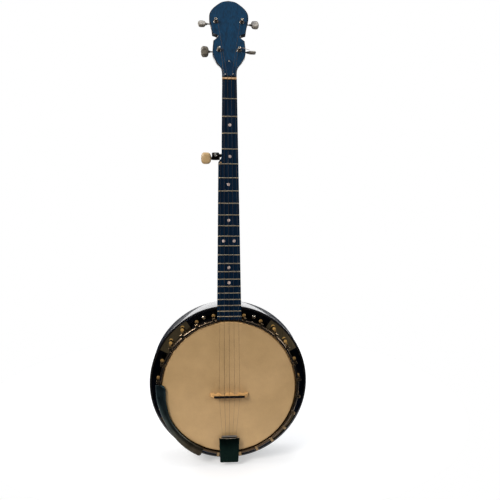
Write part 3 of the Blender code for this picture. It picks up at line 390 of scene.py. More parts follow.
def armrest_look():
    """Black nickel, brushed along the band, with a painted reflection that turns from teal to brown towards
    its lower end.
    """
    look = Look("armrest_metal", (0.022, 0.034, 0.036), 0.34, 1.0)
    brush = look.noise(1.0, 3.0, look.stretched(1400, 90, 90), 0.65)
    # painted reflection: teal above, brown towards the lower end
    painted_reflection = look.ramp(look.span(look.along("Z"), -0.015, -0.125), (0.0, (0.030, 0.052, 0.058)),
                     (0.55, (0.034, 0.042, 0.038)), (1.0, (0.044, 0.035, 0.024)))
    cloud = look.ramp(look.noise(45.0, 4.0), (0.35, (0.8, 0.8, 0.8)), (0.68, (1.3, 1.3, 1.3)))
    look.color(look.multiplied(painted_reflection, cloud))
    look.rough(look.span(brush, 0.3, 0.7, 0.26, 0.44))
    return look.bump(brush, 0.08, 0.00008)


LOOKS = {
    "lacquer": (wood("lacquer", (0.0030, 0.0031, 0.0048), (0.0090, 0.0062, 0.0055), "Z", 0.30,
                     specular_ior_level=0.25, coat_weight=0.9, coat_roughness=0.04), "dark_gloss_wood"),
    "back_wood": (wood("back_wood", (0.0040, 0.0026, 0.0024), (0.0300, 0.0125, 0.0065), "Z", 0.34,
                       specular_ior_level=0.2, coat_weight=0.6, coat_roughness=0.05), "dark_gloss_wood"),
    # The lining's faint emission is a painted glow that lightens the resonator's inside seen through the
    # openings.
    "inside": (wood("inside", (0.130, 0.105, 0.060), (0.260, 0.200, 0.115), "Z", 0.6,
                    emission_color=(0.30, 0.25, 0.15, 1.0), emission_strength=0.09), "dark_gloss_wood"),
    # The blue in the peghead veneer and the fingerboard is a painted reflection of a pale sky on black gloss.
    "peghead": (wood("peghead_veneer", (0.0030, 0.0300, 0.0720), (0.0052, 0.0410, 0.0930), "Z", 0.30,
                     specular_ior_level=0.2, coat_weight=0.2, coat_roughness=0.06), "ebony"),
    "ebony": (wood("ebony", (0.0016, 0.0092, 0.0240), (0.0036, 0.0170, 0.0390), "Z", 0.40,
                   specular_ior_level=0.08), "ebony"),
    "strip": (wood("ebony_strip", (0.002, 0.002, 0.003), (0.005, 0.004, 0.005), "X", 0.45,
                   specular_ior_level=0.2), "ebony"),
    "flange": (metal("flange_plate", (0.020, 0.024, 0.036), 0.16, (0.9, 1.0, 1.2)), "dark_chrome"),
    "cover": (metal("cover_plate", (0.0050, 0.0115, 0.0095), 0.26, (0.9, 1.0, 1.0)), "dark_chrome"),
    "armrest": (armrest_look(), "dark_chrome"),
    "nickel": (metal("nickel", (0.58, 0.53, 0.45), 0.20), "chrome"),
    "hoop": (hoop_look(), "chrome"),
    "brass": (hook_look(), "chrome"),
    "dull": (metal("dull_nickel", (0.22, 0.21, 0.20), 0.30), "chrome"),
    "cast": (metal("cast_metal", (0.20, 0.17, 0.13), 0.42), "cast_metal"),
    "case": (metal("gear_case", (0.30, 0.285, 0.26), 0.26), "chrome"),
    "dark_case": (metal("dark_gear_case", (0.035, 0.030, 0.026), 0.14), "chrome"),
    "steel": (metal("steel", (0.250, 0.180, 0.125), 0.36), "steel"),
    "fret": (metal("fret_wire", (0.55, 0.46, 0.33), 0.28), "steel"),
    "head": (head_look(), "calf_head"),
    "maple": (wood("maple", (0.56, 0.31, 0.11), (0.76, 0.46, 0.19), "X", 0.42), "maple"),
    "bone": (plastic("bone", (0.50, 0.29, 0.13), 0.42), "bone"),
    # The truss rod cover's blue is the same painted reflection as on the peghead veneer.
    "black": (plastic("truss_cover", (0.0035, 0.0220, 0.0540), 0.28, specular_ior_level=0.2),
              "black_plastic"),
    "cream": (plastic("cream_plastic", (0.52, 0.35, 0.17), 0.30, coat_weight=0.3, coat_roughness=0.1),
              "cream_plastic"),
    "pearl": (pearl_look("pearloid", (0.095, 0.082, 0.066), (0.205, 0.180, 0.142), 0.36), "pearloid"),
    "dot": (pearl_look("pearl_dots", (0.42, 0.31, 0.27), (0.62, 0.48, 0.42), 0.30), "pearloid"),
}


# ---- mesh helpers
def piece(name, bm, look, body="body", frame_of=POT, replaced=(), sharp=38):
    """Makes a named piece from a bmesh drawn in a local frame, and fixes it to a body."""
    bmesh.ops.recalc_face_normals(bm, faces=bm.faces)
    mesh = bpy.data.meshes.new(name)
    bm.to_mesh(mesh)
    bm.free()
    mesh.transform(frame_of)
    mesh.shade_smooth()
    mesh.set_sharp_from_angle(angle=math.radians(sharp))
    finish, slot = LOOKS[look]
    mesh.materials.append(finish.material)
    made = bpy.data.objects.new(name, mesh)
    bpy.context.scene.collection.objects.link(made)
    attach(made, body)
    if replaced:
        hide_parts(*replaced)
    return made


def carve(target, bm, frame_of=POT):
    """Cuts another closed shape out of a piece and keeps the result as its mesh."""
    bmesh.ops.recalc_face_normals(bm, faces=bm.faces)
    mesh = bpy.data.meshes.new("tool")
    bm.to_mesh(mesh)
    bm.free()
    mesh.transform(frame_of)
    tool = bpy.data.objects.new("tool", mesh)
    bpy.context.scene.collection.objects.link(tool)
    change = target.modifiers.new("cut", "BOOLEAN")
    change.operation = "DIFFERENCE"
    change.object = tool
    freeze(target)
    bpy.data.objects.remove(tool)


def freeze(target, sharp=38):
    """Applies a piece's modifiers."""
    bpy.context.view_layer.update()
    graph = bpy.context.evaluated_depsgraph_get()
    mesh = bpy.data.meshes.new_from_object(target.evaluated_get(graph))
    target.modifiers.clear()
    target.data = mesh
    mesh.shade_smooth()
    mesh.set_sharp_from_angle(angle=math.radians(sharp))


def soften(target, width, segments=2, angle=50):
    """Rounds a piece's sharp edges."""
    bevel = target.modifiers.new("edges", "BEVEL")
    bevel.width = width
    bevel.segments = segments
    bevel.limit_method = "ANGLE"
    bevel.angle_limit = math.radians(angle)
    bevel.use_clamp_overlap = True


def rounded(points, steps=5, closed=True):
    """A polygon of (x, y, radius) corners, each rounded by its radius."""
    path = []
    for i, (x, y, radius) in enumerate(points):
        corner = Vector((x, y))
        if radius <= 0 or (not closed and i in (0, len(points) - 1)):
            path.append(corner)
            continue
        back = Vector(points[i - 1][:2]) - corner
        onward = Vector(points[(i + 1) % len(points)][:2]) - corner
        reach = min(radius / math.tan(back.angle(onward) / 2), 0.49 * back.length, 0.49 * onward.length)
        start = corner + back.normalized() * reach
        end = corner + onward.normalized() * reach
        for k in range(steps + 1):
            t = k / steps
            path.append(start * (1 - t) ** 2 + corner * 2 * t * (1 - t) + end * t * t)
    return path


def lathe(profile, steps=FINE_STEPS, closed=True):
    """(radius, height) points turned about Z, with the last joined to the first if closed."""
    bm = bmesh.new()
    verts = [bm.verts.new((radius, 0, height)) for radius, height in profile]
    edges = [bm.edges.new(pair) for pair in zip(verts, verts[1:])]
    if closed:
        edges.append(bm.edges.new((verts[-1], verts[0])))
    bmesh.ops.spin(bm, geom=verts + edges, cent=(0, 0, 0), axis=(0, 0, 1), angle=math.radians(360.0),
                   steps=steps, use_merge=True)
    bmesh.ops.remove_doubles(bm, verts=bm.verts, dist=0.000002)
    return bm


def turned(corners, arc_steps, steps=FINE_STEPS, closed=True):
    """(radius, height, rounding) corners turned about Z."""
    return lathe(rounded(corners, arc_steps, closed), steps, closed)


def add_mesh(bm, other, move=None):
    """Moves a bmesh, puts it into another one and frees it."""
    if move:
        bmesh.ops.transform(other, matrix=move, verts=other.verts)
    mesh = bpy.data.meshes.new("part")
    other.to_mesh(mesh)
    other.free()
    bm.from_mesh(mesh)
    bpy.data.meshes.remove(mesh)


def loft(loops, bm=None):
    """Skins between closed loops that have the same number of points."""
    bm = bm or bmesh.new()
    rows = [[bm.verts.new(point) for point in loop] for loop in loops]
    for first, second in zip(rows, rows[1:]):
        for k in range(len(first)):
            n = (k + 1) % len(first)
            bm.faces.new((first[k], first[n], second[n], second[k]))
    bm.faces.new(rows[0][::-1])
    bm.faces.new(rows[-1])
    return bm


def slab(outline, back, front, bm=None):
    """A flat outline in XY between two heights."""
    return loft([[(x, y, back) for x, y in outline], [(x, y, front) for x, y in outline]], bm)


def angles(count, sweep=2 * math.pi):
    """Equal steps from 0 to the end of a sweep."""
    return [sweep * k / count for k in range(count + 1)]


def tube(points, radius, sides, bm=None):
    """A round wire through points."""
    points = [Vector(point) for point in points]
    loops = []
    side = None
    for i, point in enumerate(points):
        along = (points[min(i + 1, len(points) - 1)] - points[max(i - 1, 0)]).normalized()
        side = along.orthogonal() if side is None else side - along * side.dot(along)
        side.normalize()
        other = along.cross(side)
        loops.append([point + radius * (math.cos(a) * side + math.sin(a) * other)
                      for a in angles(sides)[:-1]])
    return loft(loops, bm)


def box(bm, low_corner, high_corner, degrees=0.0):
    size = [high_corner[i] - low_corner[i] for i in range(3)]
    centre = [(high_corner[i] + low_corner[i]) / 2 for i in range(3)]
    matrix = turn(degrees) @ (at(*centre) @ Matrix.Diagonal((*size, 1.0)))
    bmesh.ops.create_cube(bm, size=1.0, matrix=matrix)
    return bm


def facing(direction):
    """The turn that points Z in a direction."""
    return direction.to_track_quat("Z", "Y").to_matrix().to_4x4()


def cylinder(bm, radius, start, end, sides):
    start, end = Vector(start), Vector(end)
    matrix = Matrix.Translation((start + end) / 2) @ facing(end - start)
    bmesh.ops.create_cone(bm, cap_ends=True, segments=sides, radius1=radius, radius2=radius,
                          depth=(end - start).length, matrix=matrix)
    return bm


def around_pot(degrees, radius, height=None):
    """A point so many degrees clockwise from the neck, with a height as well if one is given."""
    angle = math.radians(degrees)
    point = (radius * math.sin(angle), radius * math.cos(angle))
    return point if height is None else Vector((*point, height))


def mirrored(points):
    return [Vector((-x, y)) for x, y in reversed(points)]


def smooth_run(points, pieces):
    """Catmull-Rom points along a run, without its last point."""
    padded = [points[0], *points, points[-1]]
    run = []
    for i in range(1, len(padded) - 2):
        a, b, c, d = (Vector(padded[k]) for k in range(i - 1, i + 3))
        for step in range(pieces):
            t = step / pieces
            run.append(b + 0.5 * t * (c - a + t * (2 * a - 5 * b + 4 * c - d + t * (3 * b - a - 3 * c + d))))
    return run


def smoothstep(start, end, value):
    t = min(max((value - start) / (end - start), 0.0), 1.0)
    return t * t * (3 - 2 * t)


def screw_head(bm, place, direction, radius, height):
    """A domed screw head standing on a surface, with a slot across it."""
    dome = [(radius * math.sin(a), height * (0.35 + 0.65 * math.cos(a))) for a in angles(6, math.pi / 2)[1:]]
    cap = lathe([(0.0, height), *dome, (radius, 0), (0.0, 0)], steps=28, closed=False)
    for vert in cap.verts:
        if vert.co.z > height * 0.5 and abs(vert.co.x) < radius * 0.16:
            vert.co.z -= height * 0.35
    add_mesh(bm, cap, at(*place) @ facing(Vector(direction).normalized()))


# ---- the pot
def make_resonator():
    outer, corner = RESONATOR_OUTER, RESONATOR_CORNER
    seam = RESONATOR_FLOOR + GAP

    def corner_arc(first, last, steps):
        """The rounded back corner, between two angles from the side wall."""
        arc = [math.radians(first + (last - first) * k / steps) for k in range(steps + 1)]
        return [(outer - corner * (1 - math.cos(a)), corner * (1 - math.sin(a))) for a in arc]

    wall = rounded([(RESONATOR_INNER, RESONATOR_FRONT, 0.0008), (outer, RESONATOR_FRONT, 0.0014),
                    (outer, corner, 0.0)], 4, closed=False)
    wall += corner_arc(0.0, math.degrees(math.asin(1 - seam / corner)), 8)[1:] + [(RESONATOR_INNER, seam)]
    piece("resonator_wall", lathe(wall), "lacquer", replaced=("resonator_side",))
    joint = math.degrees(math.asin(1 - RESONATOR_FLOOR / corner))
    board = [(0.0, RESONATOR_FLOOR), *corner_arc(joint, 90, 12), (0.0, 0.0)]
    piece("resonator_board", lathe(board, closed=False), "back_wood", replaced=("resonator_back",))
    inner, front, floor = RESONATOR_INNER - 0.0002, FLANGE_BACK - 0.0045, seam + 0.0006
    lining = lathe([(inner, front), (inner, floor), (0.0, floor), (0.0, seam), (RESONATOR_INNER, seam),
                    (RESONATOR_INNER, front)], closed=False)
    piece("resonator_lining", lining, "inside")


def band(inner, outer, start, end, steps=24, corner=0.0016):
    """Outline of a band between two radii from one angle to another, its four corners rounded."""
    points = []
    for radius, first, last in ((inner, start, end), (outer, end, start)):
        for k in range(steps + 1):
            x, y = around_pot(first + (last - first) * k / steps, radius)
            points.append((x, y, corner if k in (0, steps) else 0.0))
    return rounded(points, 4)


def make_flange():
    bead = FLANGE_BEAD
    plate = turned([
        (RESONATOR_INNER - GAP, bead, 0.0010), (RESONATOR_INNER - GAP, FLANGE_BACK, 0.0004),
        (FLANGE_INNER, FLANGE_BACK, 0.0004), (FLANGE_INNER, FLANGE_FRONT, 0.0006),
        (OPENING_RADII[1] - 0.0003, FLANGE_FRONT, 0.0010), (OPENING_RADII[1] + 0.0008, bead, 0.0008)], 3)
    flange = piece("flange_plate", plate, "flange", replaced=("flange",))
    first, last = OPENING
    for start in (first, 180 - last, 180 + first, 360 - last):
        opening = band(*OPENING_RADII, start, start + last - first)
        carve(flange, slab(opening, FLANGE_BACK - 0.01, bead + 0.01))
    soften(flange, 0.0004)
    freeze(flange)

    washers = bmesh.new()
    screws = bmesh.new()
    bottom, top = FLANGE_FRONT + 0.0001, FLANGE_FRONT + 0.0012
    for angle in HOOK_ANGLES:
        if not first < min(abs(angle), 180 - abs(angle)) < last:
            ring = turned([(0.0023, top, 0.0003), (0.0023, bottom, 0), (0.0037, bottom, 0),
                           (0.0035, top, 0.0005)], 3, 24)
            add_mesh(washers, ring, at(*around_pot(angle, HOOK_RADIUS)))
    piece("hook_washers", washers, "brass")
    for angle in (20.3, -20.3, 159.7, -159.7):
        screw_head(screws, around_pot(angle, 0.1530, bottom), (0, 0, 1), 0.0042, 0.0030)
    piece("resonator_screws", screws, "nickel")


def make_drum():
    front, edge = HEAD_FRONT, HEAD_EDGE
    collar = edge - 0.0014
    back = front - 0.0004
    skin = turned([(0.0, front, 0), (collar, front, 0.0024), (collar + 0.0004, 0.0895, 0.0006),
                   (edge, 0.0890, 0.0006), (edge, 0.0872, 0.0005), (collar, 0.0870, 0.0003),
                   (collar, back - 0.0002, 0.0020), (0.0, back, 0)], 6, closed=False)
    piece("head_skin", skin, "head", replaced=("drum_head",))
    hoop = turned([
        (HOOP_INNER, HOOP_FRONT, 0.0009), (HOOP_OUTER, HOOP_FRONT, 0.0016),
        (HOOP_OUTER, HOOP_BACK + 0.003, 0), (HOOP_OUTER, HOOP_BACK, 0.0008),
        (HOOP_INNER, HOOP_BACK, 0.0006)], 4, 240)
    ring = piece("stretcher_band", hoop, "hoop", replaced=("tension_hoop",))
    notches = bmesh.new()
    for angle in HOOK_ANGLES:
        box(notches, (-0.0030, HOOP_INNER - 0.003, HOOP_FRONT - HOOP_NOTCH),
            (0.0030, HOOP_OUTER + 0.004, HOOP_FRONT + 0.003), -angle)
    carve(ring, notches)
    board_half_width = 0.0262
    carve(ring, box(bmesh.new(), (-board_half_width, HOOP_INNER - 0.01, HEAD_FRONT - 0.0025),
                    (board_half_width, HOOP_OUTER + 0.004, HOOP_FRONT + 0.003)))
    soften(ring, 0.0003)
    freeze(ring)


def make_hooks():
    """Each hook is one mesh: a claw over the hoop's notch, a threaded shank, a washer and a long nut."""
    claw_back = HOOP_FRONT - HOOP_NOTCH + GAP
    inner, outer = 0.1428, 0.1525
    thick, drop, foot = 0.0018, 0.0030, 0.0036
    outline = rounded([
        (inner, claw_back, 0.0003), (inner, claw_back + thick, 0.0011), (outer, claw_back + thick, 0.0022),
        (outer, claw_back - drop, 0.0014), (outer - foot, claw_back - drop, 0.0008),
        (outer - foot, claw_back, 0.0006)], 4)
    shape = loft([[(x, r, f) for r, f in outline] for x in (-0.0026, 0.0026)])
    back = HOOK_BACK
    nut_front = SHOE_BACK - GAP
    radius, core, thread_length = 0.0020, 0.00178, 0.0125
    threads = [(radius if k % 2 else core, nut_front + thread_length * k / 48) for k in range(49)]
    shank = [(0.0, claw_back + thick / 2), (radius, claw_back + thick / 2),
             (radius, nut_front + thread_length), *reversed(threads), (0.0018, back + 0.002),
             (0.0, back + 0.002)]
    nut = turned([(0.0, nut_front, 0), (0.0036, nut_front, 0.0006), (0.0041, nut_front - 0.0012, 0.0004),
                  (0.0041, back + 0.0010, 0.0005), (0.0030, back, 0.0004), (0.0, back, 0)], 2, 6, False)
    washer = turned([(0.0019, SHOE_FRONT + GAP, 0), (0.0036, SHOE_FRONT + GAP, 0.0003),
                     (0.0036, SHOE_FRONT + 0.0016, 0.0006), (0.0019, SHOE_FRONT + 0.0022, 0.0002)], 3, 28)
    for part in (lathe(shank, 20, False), nut, washer):
        add_mesh(shape, part, at(0, HOOK_RADIUS))
    numbers = list(range(1, 13)) + list(range(24, 12, -1))
    for number, angle in zip(numbers, HOOK_ANGLES):
        made = piece(f"hook_{number:02d}", shape.copy(), "brass",
                     frame_of=POT @ turn(-angle), replaced=(f"tension_hook_{number:02d}",))
        soften(made, 0.0003, 2, 60)
    shape.free()


def make_rim():
    """The cast rim and, round it, a small bracket for each hook's shank to pass through."""
    front, back = -low("rim").y, -high("rim").y
    outer, inner = 0.1397, 0.1330
    wall = turned([(inner, back, 0.0010), (outer, back, 0.0010), (outer, front, 0.0006),
                   (inner, front, 0.0006)], 3)
    rim = piece("rim_wall", wall, "cast", replaced=("rim",))
    holes = bmesh.new()
    for reach in (0.128, -0.128):
        cylinder(holes, 0.0040, (0, reach, ROD_HEIGHT), (0, reach * 1.13, ROD_HEIGHT), 24)
    carve(rim, holes)
    brackets = bmesh.new()
    half, root, end = 0.00475, outer - 0.0010, 0.1545
    outline = rounded([(-half, root, 0.0), (half, root, 0.0), (half, end, 0.0047), (-half, end, 0.0047)], 7)
    for angle in HOOK_ANGLES:
        loops = []
        for height, inset in ((SHOE_BACK, 0.0006), (SHOE_BACK + 0.0008, 0.0), (SHOE_FRONT - 0.0010, 0.0),
                              (SHOE_FRONT - 0.0003, 0.0004), (SHOE_FRONT, 0.0012)):
            scale = 1 - inset / 0.0048
            loops.append([(x * scale, HOOK_RADIUS + (y - HOOK_RADIUS) * scale, height) for x, y in outline])
        add_mesh(brackets, loft(loops), turn(-angle))
    piece("hook_brackets", brackets, "cast", replaced=("rim",))


# The armrest's inner and outer radius at angles anticlockwise from +X, and its height from edge to edge
ARMREST_EDGES = (
    (176.3, 0.1400, 0.1527), (178.0, 0.1352, 0.1526), (181.0, 0.1325, 0.1525), (190.0, 0.1342, 0.1523),
    (198.0, 0.1358, 0.1519), (207.0, 0.1386, 0.1521), (217.0, 0.1396, 0.1540), (230.0, 0.1401, 0.1573),
    (240.0, 0.1405, 0.1592), (247.3, 0.1408, 0.1600))
ARMREST_CROWN = (
    (0.0, 0.0986), (0.06, 0.1002), (0.2, 0.1015), (0.5, 0.1024), (0.8, 0.1014), (0.94, 0.1000), (1.0, 0.0988))


def between(stops, place):
    """Values at a place among stops of (place, value, ...), on a smooth curve through them."""
    i = 0
    while i < len(stops) - 2 and place > stops[i + 1][0]:
        i += 1
    t = (place - stops[i][0]) / (stops[i + 1][0] - stops[i][0])
    rows = [stops[min(max(k, 0), len(stops) - 1)] for k in (i - 1, i, i + 1, i + 2)]
    width = rows[2][0] - rows[1][0]

    def slope(k, column):
        step = rows[k + 1][0] - rows[k - 1][0]
        return (rows[k + 1][column] - rows[k - 1][column]) / step * width if step else 0.0

    values = []
    for column in range(1, len(stops[0])):
        a, b = rows[1][column], rows[2][column]
        m, n = slope(1, column), slope(2, column)
        values.append(a * (1 + 2 * t) * (1 - t) ** 2 + m * t * (1 - t) ** 2 + b * t * t * (3 - 2 * t)
                      + n * t * t * (t - 1))
    return values


def armrest_point(degrees, share):
    inner, outer = between(ARMREST_EDGES, degrees)
    height, = between(ARMREST_CROWN, share)
    radius = inner + (outer - inner) * share
    angle = math.radians(degrees)
    return Vector((radius * math.cos(angle), radius * math.sin(angle), height))


def make_armrest():
    """A crowned sheet round the hoop: a wide pad with one rounded corner above, and a blunt end below."""
    across, along = 28, 130
    start, end = ARMREST_EDGES[0][0], ARMREST_EDGES[-1][0]
    bm = bmesh.new()
    rows = []
    for i in range(along + 1):
        row = []
        for j in range(across + 1):
            share = j / across
            t = i / along
            lower = (end - 1.3 * max(0.0, (share - 0.70) / 0.30) ** 2
                     - 0.7 * max(0.0, (0.2 - share) / 0.2) ** 2)
            row.append(bm.verts.new(armrest_point(start + (lower - start) * t ** 1.35, share)))
        rows.append(row)
    for first, second in zip(rows, rows[1:]):
        for k in range(across):
            bm.faces.new((first[k], first[k + 1], second[k + 1], second[k]))
    rest = piece("armrest_band", bm, "armrest", replaced=("armrest",), sharp=60)
    shell = rest.modifiers.new("sheet", "SOLIDIFY")
    shell.thickness = 0.0015
    shell.offset = 0.0
    soften(rest, 0.0005, 3, 60)
    posts = bmesh.new()
    post_radius = 0.1501
    for angle in (106.1, 149.3):
        x, y = around_pot(-angle, post_radius)
        inner, outer = between(ARMREST_EDGES, 90 + angle)
        top = armrest_point(90 + angle, (post_radius - inner) / (outer - inner)).z
        cylinder(posts, 0.0024, (x, y, FLANGE_FRONT + 0.0004), (x, y, top), 24)
        cylinder(posts, 0.0040, (x, y, FLANGE_FRONT + 0.0002), (x, y, FLANGE_FRONT + 0.0028), 6)
        cylinder(posts, 0.0030, (x, y, top - 0.0100), (x, y, top - 0.0085), 24)
    soften(piece("armrest_posts", posts, "nickel"), 0.0003)


# ---- the neck
STEP_TOP, STEP_LENGTH, STEP_WIDTH = 0.153, 0.0125, 0.0065      # where the neck widens for the fifth string
STEP_PLACES = [STEP_TOP + STEP_LENGTH * k / 10 for k in range(11)]
NECK_END = 0.498
NUT_DEPTH = 0.0152               # how thick the neck is behind the nut
POST_HOLE = 0.0044
FIFTH_PIP = (-0.0177, -0.1648)


def treble_edge(distance):
    """The neck's half width on one side, at a distance from the nut."""
    return NUT_HALF_WIDTH + 0.0209 * max(distance, 0.0)


def bass_edge(distance):
    step = STEP_WIDTH * smoothstep(STEP_TOP, STEP_TOP + STEP_LENGTH, distance)
    return NUT_HALF_WIDTH + 0.0086 * max(distance, 0.0) + step


def neck_depth(distance):
    body = 0.0155 + 0.006 * max(distance, 0.0)
    return body + (0.0272 - body) * smoothstep(0.400, 0.470, distance)


PEGHEAD_THICKNESS = 0.014
PEGHEAD_RUNS = (
    ((0.0148, 0.0), (0.0149, 0.0090), (0.0158, 0.0176), (0.0202, 0.0261), (0.0268, 0.0355),
     (0.0318, 0.0455), (0.0335, 0.0560), (0.0328, 0.0690), (0.0316, 0.0800)),
    ((0.0316, 0.0800), (0.0262, 0.0845), (0.0224, 0.0885), (0.0246, 0.0927), (0.0341, 0.0962)),
    ((0.0341, 0.0962), (0.0354, 0.1060), (0.0376, 0.1165), (0.0398, 0.1260), (0.0394, 0.1375),
     (0.0345, 0.1475), (0.0258, 0.1563), (0.0139, 0.1645), (0.0, 0.1675)),
)


def neck_loop(frame_at, treble, bass, depth, top, square, points=44):
    """One cross-section: a flat top, and a back that goes from round to square."""
    middle = (treble - bass) / 2
    half = (treble + bass) / 2
    wide = 0.86 + (0.10 - 0.86) * square
    deep = 0.80 + (0.10 - 0.80) * square
    loop = []
    for k in range(points + 1):
        angle = math.pi * k / points
        across = math.copysign(abs(math.cos(angle)) ** wide, math.cos(angle))
        down = math.sin(angle) ** deep if 0 < k < points else 0.0
        loop.append(frame_at @ Vector((middle + half * across, 0, top - depth * down)))
    return loop


def make_neck():
    loops = []
    top = -BOARD_THICKNESS - GAP
    distances = [NECK_END - NECK_END * k / 110 for k in range(110)] + STEP_PLACES
    for distance in sorted(set(distances), reverse=True):
        if distance > 0.006:
            loops.append(neck_loop(
                at(0, -distance), treble_edge(distance), bass_edge(distance), neck_depth(distance), top, 0.0))
    into_neck = NECK.inverted() @ PEGHEAD
    bend, half_width = 0.0035, 0.01475
    for k in range(6):
        y = -bend + 0.0045 * k / 5
        share = (k + 1) / 7
        tilted = at(0, y + bend) @ Matrix.Rotation(-PEGHEAD_TILT * share, 4, "X")
        loops.append(neck_loop(at(0, -bend + bend * share) @ tilted, half_width, half_width, NUT_DEPTH,
                               top - 0.0006 * share, 0.0))
    run = [point for part in PEGHEAD_RUNS for point in smooth_run(part, 7)] + [Vector((0.0002, 0.1675))]
    for width, y in run:
        if y < 0.0055:
            continue
        square = smoothstep(0.010, 0.040, y)
        depth = NUT_DEPTH + (PEGHEAD_THICKNESS - 0.0002 - NUT_DEPTH) * smoothstep(0.004, 0.035, y)
        loops.append(neck_loop(into_neck @ at(0, y), width, width, depth, -0.0002, square))
    neck = piece("neck_wood", loft(loops), "lacquer", frame_of=NECK, replaced=("neck",), sharp=42)
    past_hoop, past_rim, past_side = HOOP_OUTER + GAP, 0.1400, RESONATOR_OUTER + 0.003
    front, back = 0.125, 0.02
    carve(neck, lathe([
        (0.0, front), (past_hoop, front), (past_hoop, HOOP_BACK - GAP), (past_rim, HOOP_BACK - GAP),
        (past_rim, FLANGE_BEAD + GAP), (past_side, FLANGE_BEAD + GAP), (past_side, back),
        (0.0, back)], closed=False))
    drill_for_posts(neck)
    soften(neck, 0.0007, 3, 42)
    freeze(neck, 30)

    right = [Vector((max(width - 0.0013, 0.0), y)) for width, y in run if 0.0045 < y < 0.1663]
    face = piece("peghead_veneer", slab(right + mirrored(right), -0.0012, 0.0), "peghead", frame_of=PEGHEAD)
    drill_for_posts(face)
    soften(face, 0.0003)


def drill_for_posts(target):
    holes = bmesh.new()
    for x, y, _, _ in TUNERS.values():
        cylinder(holes, POST_HOLE, (x, y, -0.03), (x, y, 0.01), 24)
    carve(target, holes, PEGHEAD)


def board_outline():
    down = [0.0, 0.06, 0.12, *STEP_PLACES, 0.25, 0.35, BOARD_END]
    return ([Vector((-bass_edge(u), -u)) for u in down]
            + [Vector((treble_edge(u), -u)) for u in reversed(down)])


def fret_distance(number):
    return SCALE_LENGTH * (1 - 2 ** (-number / 12))


def dot_places(spread):
    """Distances from the nut to each dot's place between frets, and its step aside: two at the 12th fret."""
    for number in DOTTED:
        middle = (fret_distance(number) + fret_distance(number - 1)) / 2
        for step in ((-spread, spread) if number == 12 else (0.0,)):
            yield middle, step


def make_fingerboard():
    board = piece("fingerboard_blank", slab(board_outline(), -BOARD_THICKNESS, 0.0), "ebony", frame_of=NECK,
                  replaced=("fingerboard",))
    soften(board, 0.0005, 3)
    wires = bmesh.new()
    half, crown = 0.0010, 0.0009
    for number in range(1, FRETS + 1):
        u = fret_distance(number)
        left, right = -bass_edge(u) + 0.0002, treble_edge(u) - 0.0002
        ends = ((left, 0.30), (left + 0.0004, 0.85), (left + 0.0010, 1.0), (right - 0.0010, 1.0),
                (right - 0.0004, 0.85), (right, 0.30))
        loft([[(x, -u + half * math.cos(a), -0.0001 + crown * scale * math.sin(a))
               for a in angles(10, math.pi)] for x, scale in ends], wires)
    piece("frets", wires, "fret", frame_of=NECK)
    dots = bmesh.new()
    for u, step in dot_places(0.0108):
        disc = lathe([(0.0, 0.0001), (0.0030, 0.0001), (0.0034, -0.0002), (0.0034, -0.0010), (0.0, -0.0010)],
                     28, False)
        add_mesh(dots, disc, at((treble_edge(u) - bass_edge(u)) / 2 + step, -u))
    piece("position_dots", dots, "dot", frame_of=NECK)
    side = bmesh.new()
    for u, step in dot_places(0.0035):
        x = -bass_edge(u + step)
        cylinder(side, 0.0009, (x + 0.001, -u - step, -0.0022), (x - 0.00015, -u - step, -0.0022), 16)
    piece("side_dots", side, "cream", frame_of=NECK)
    pip = bmesh.new()
    add_mesh(pip, turned([(0.0, 0.0012, 0), (0.0017, 0.0012, 0.0006), (0.0021, -0.001, 0), (0.0, -0.001, 0)],
                         3, 20, False), at(*FIFTH_PIP))
    piece("fifth_string_pip", pip, "bone", frame_of=NECK)


def make_nut():
    half = NUT_HALF_WIDTH - 0.0001
    slot_bottom = NUT_TOP - 0.0012
    outline = rounded([
        (GAP, -BOARD_THICKNESS, 0), (GAP, NUT_TOP, 0.0005), (NUT_THICKNESS * 0.55, NUT_TOP, 0.0012),
        (NUT_THICKNESS, slot_bottom, 0.0008), (NUT_THICKNESS, -BOARD_THICKNESS, 0)], 3)
    block = loft([[(x, y, z) for y, z in outline] for x in (-half, half)])
    made = piece("nut_block", block, "bone", frame_of=NECK, replaced=("nut",))
    slots = bmesh.new()
    for order in (-1.5, -0.5, 0.5, 1.5):
        left, right = 0.0074 * order - 0.0006, 0.0074 * order + 0.0006
        groove = rounded([(left, slot_bottom, 0.0005), (right, slot_bottom, 0.0005),
                          (right, NUT_TOP + 0.001, 0), (left, NUT_TOP + 0.001, 0)], 3)
        loft([[(x, y, z) for x, z in groove] for y in (-0.002, 0.006)], slots)
    carve(made, slots, NECK)
    soften(made, 0.00025)
    freeze(made)


def make_truss_cover():
    half = [(0.0100, 0.0048), (0.0104, 0.0110), (0.0112, 0.0175), (0.0100, 0.0260), (0.0056, 0.0350),
            (0.0022, 0.0392)]
    right = [Vector(half[0])] + smooth_run(half, 5)[1:] + [Vector(half[-1])]
    outline = right + [Vector((0.0, 0.0403))] + mirrored(right)
    cover = piece("truss_rod_cover", slab(outline, 0.0001, 0.0015), "black", frame_of=PEGHEAD)
    soften(cover, 0.0004, 3, 40)
    screws = bmesh.new()
    for x, y in ((0.0, 0.0356), (0.0078, 0.0080), (-0.0078, 0.0080)):
        screw_head(screws, (x, y, 0.0015), (0, 0, 1), 0.0016, 0.0008)
    piece("truss_cover_screws", screws, "dull", frame_of=PEGHEAD)


# ---- the tuners
# name: (post's x, post's y, button's x, quarter turns of the button at rest)
TUNERS = {
    "first": (0.0205, 0.0602, 0.0482, 0.69),
    "second": (0.0265, 0.1213, 0.0550, 0.24),
    "third": (-0.0265, 0.1213, -0.0550, 0.40),
    "fourth": (-0.0205, 0.0602, -0.0490, -0.31),
}
BUTTON_SIZE = (0.0156, 0.0220, 0.0072)
FIFTH_SIZE = (0.0198, 0.0236, 0.0085)
FIFTH_POST = (-0.0280, -0.150)
FIFTH_FACE = -0.0040
WORM_DEPTH = 0.0065              # how far behind the wood the worm and its gear lie
POST_WAIST = 0.0028


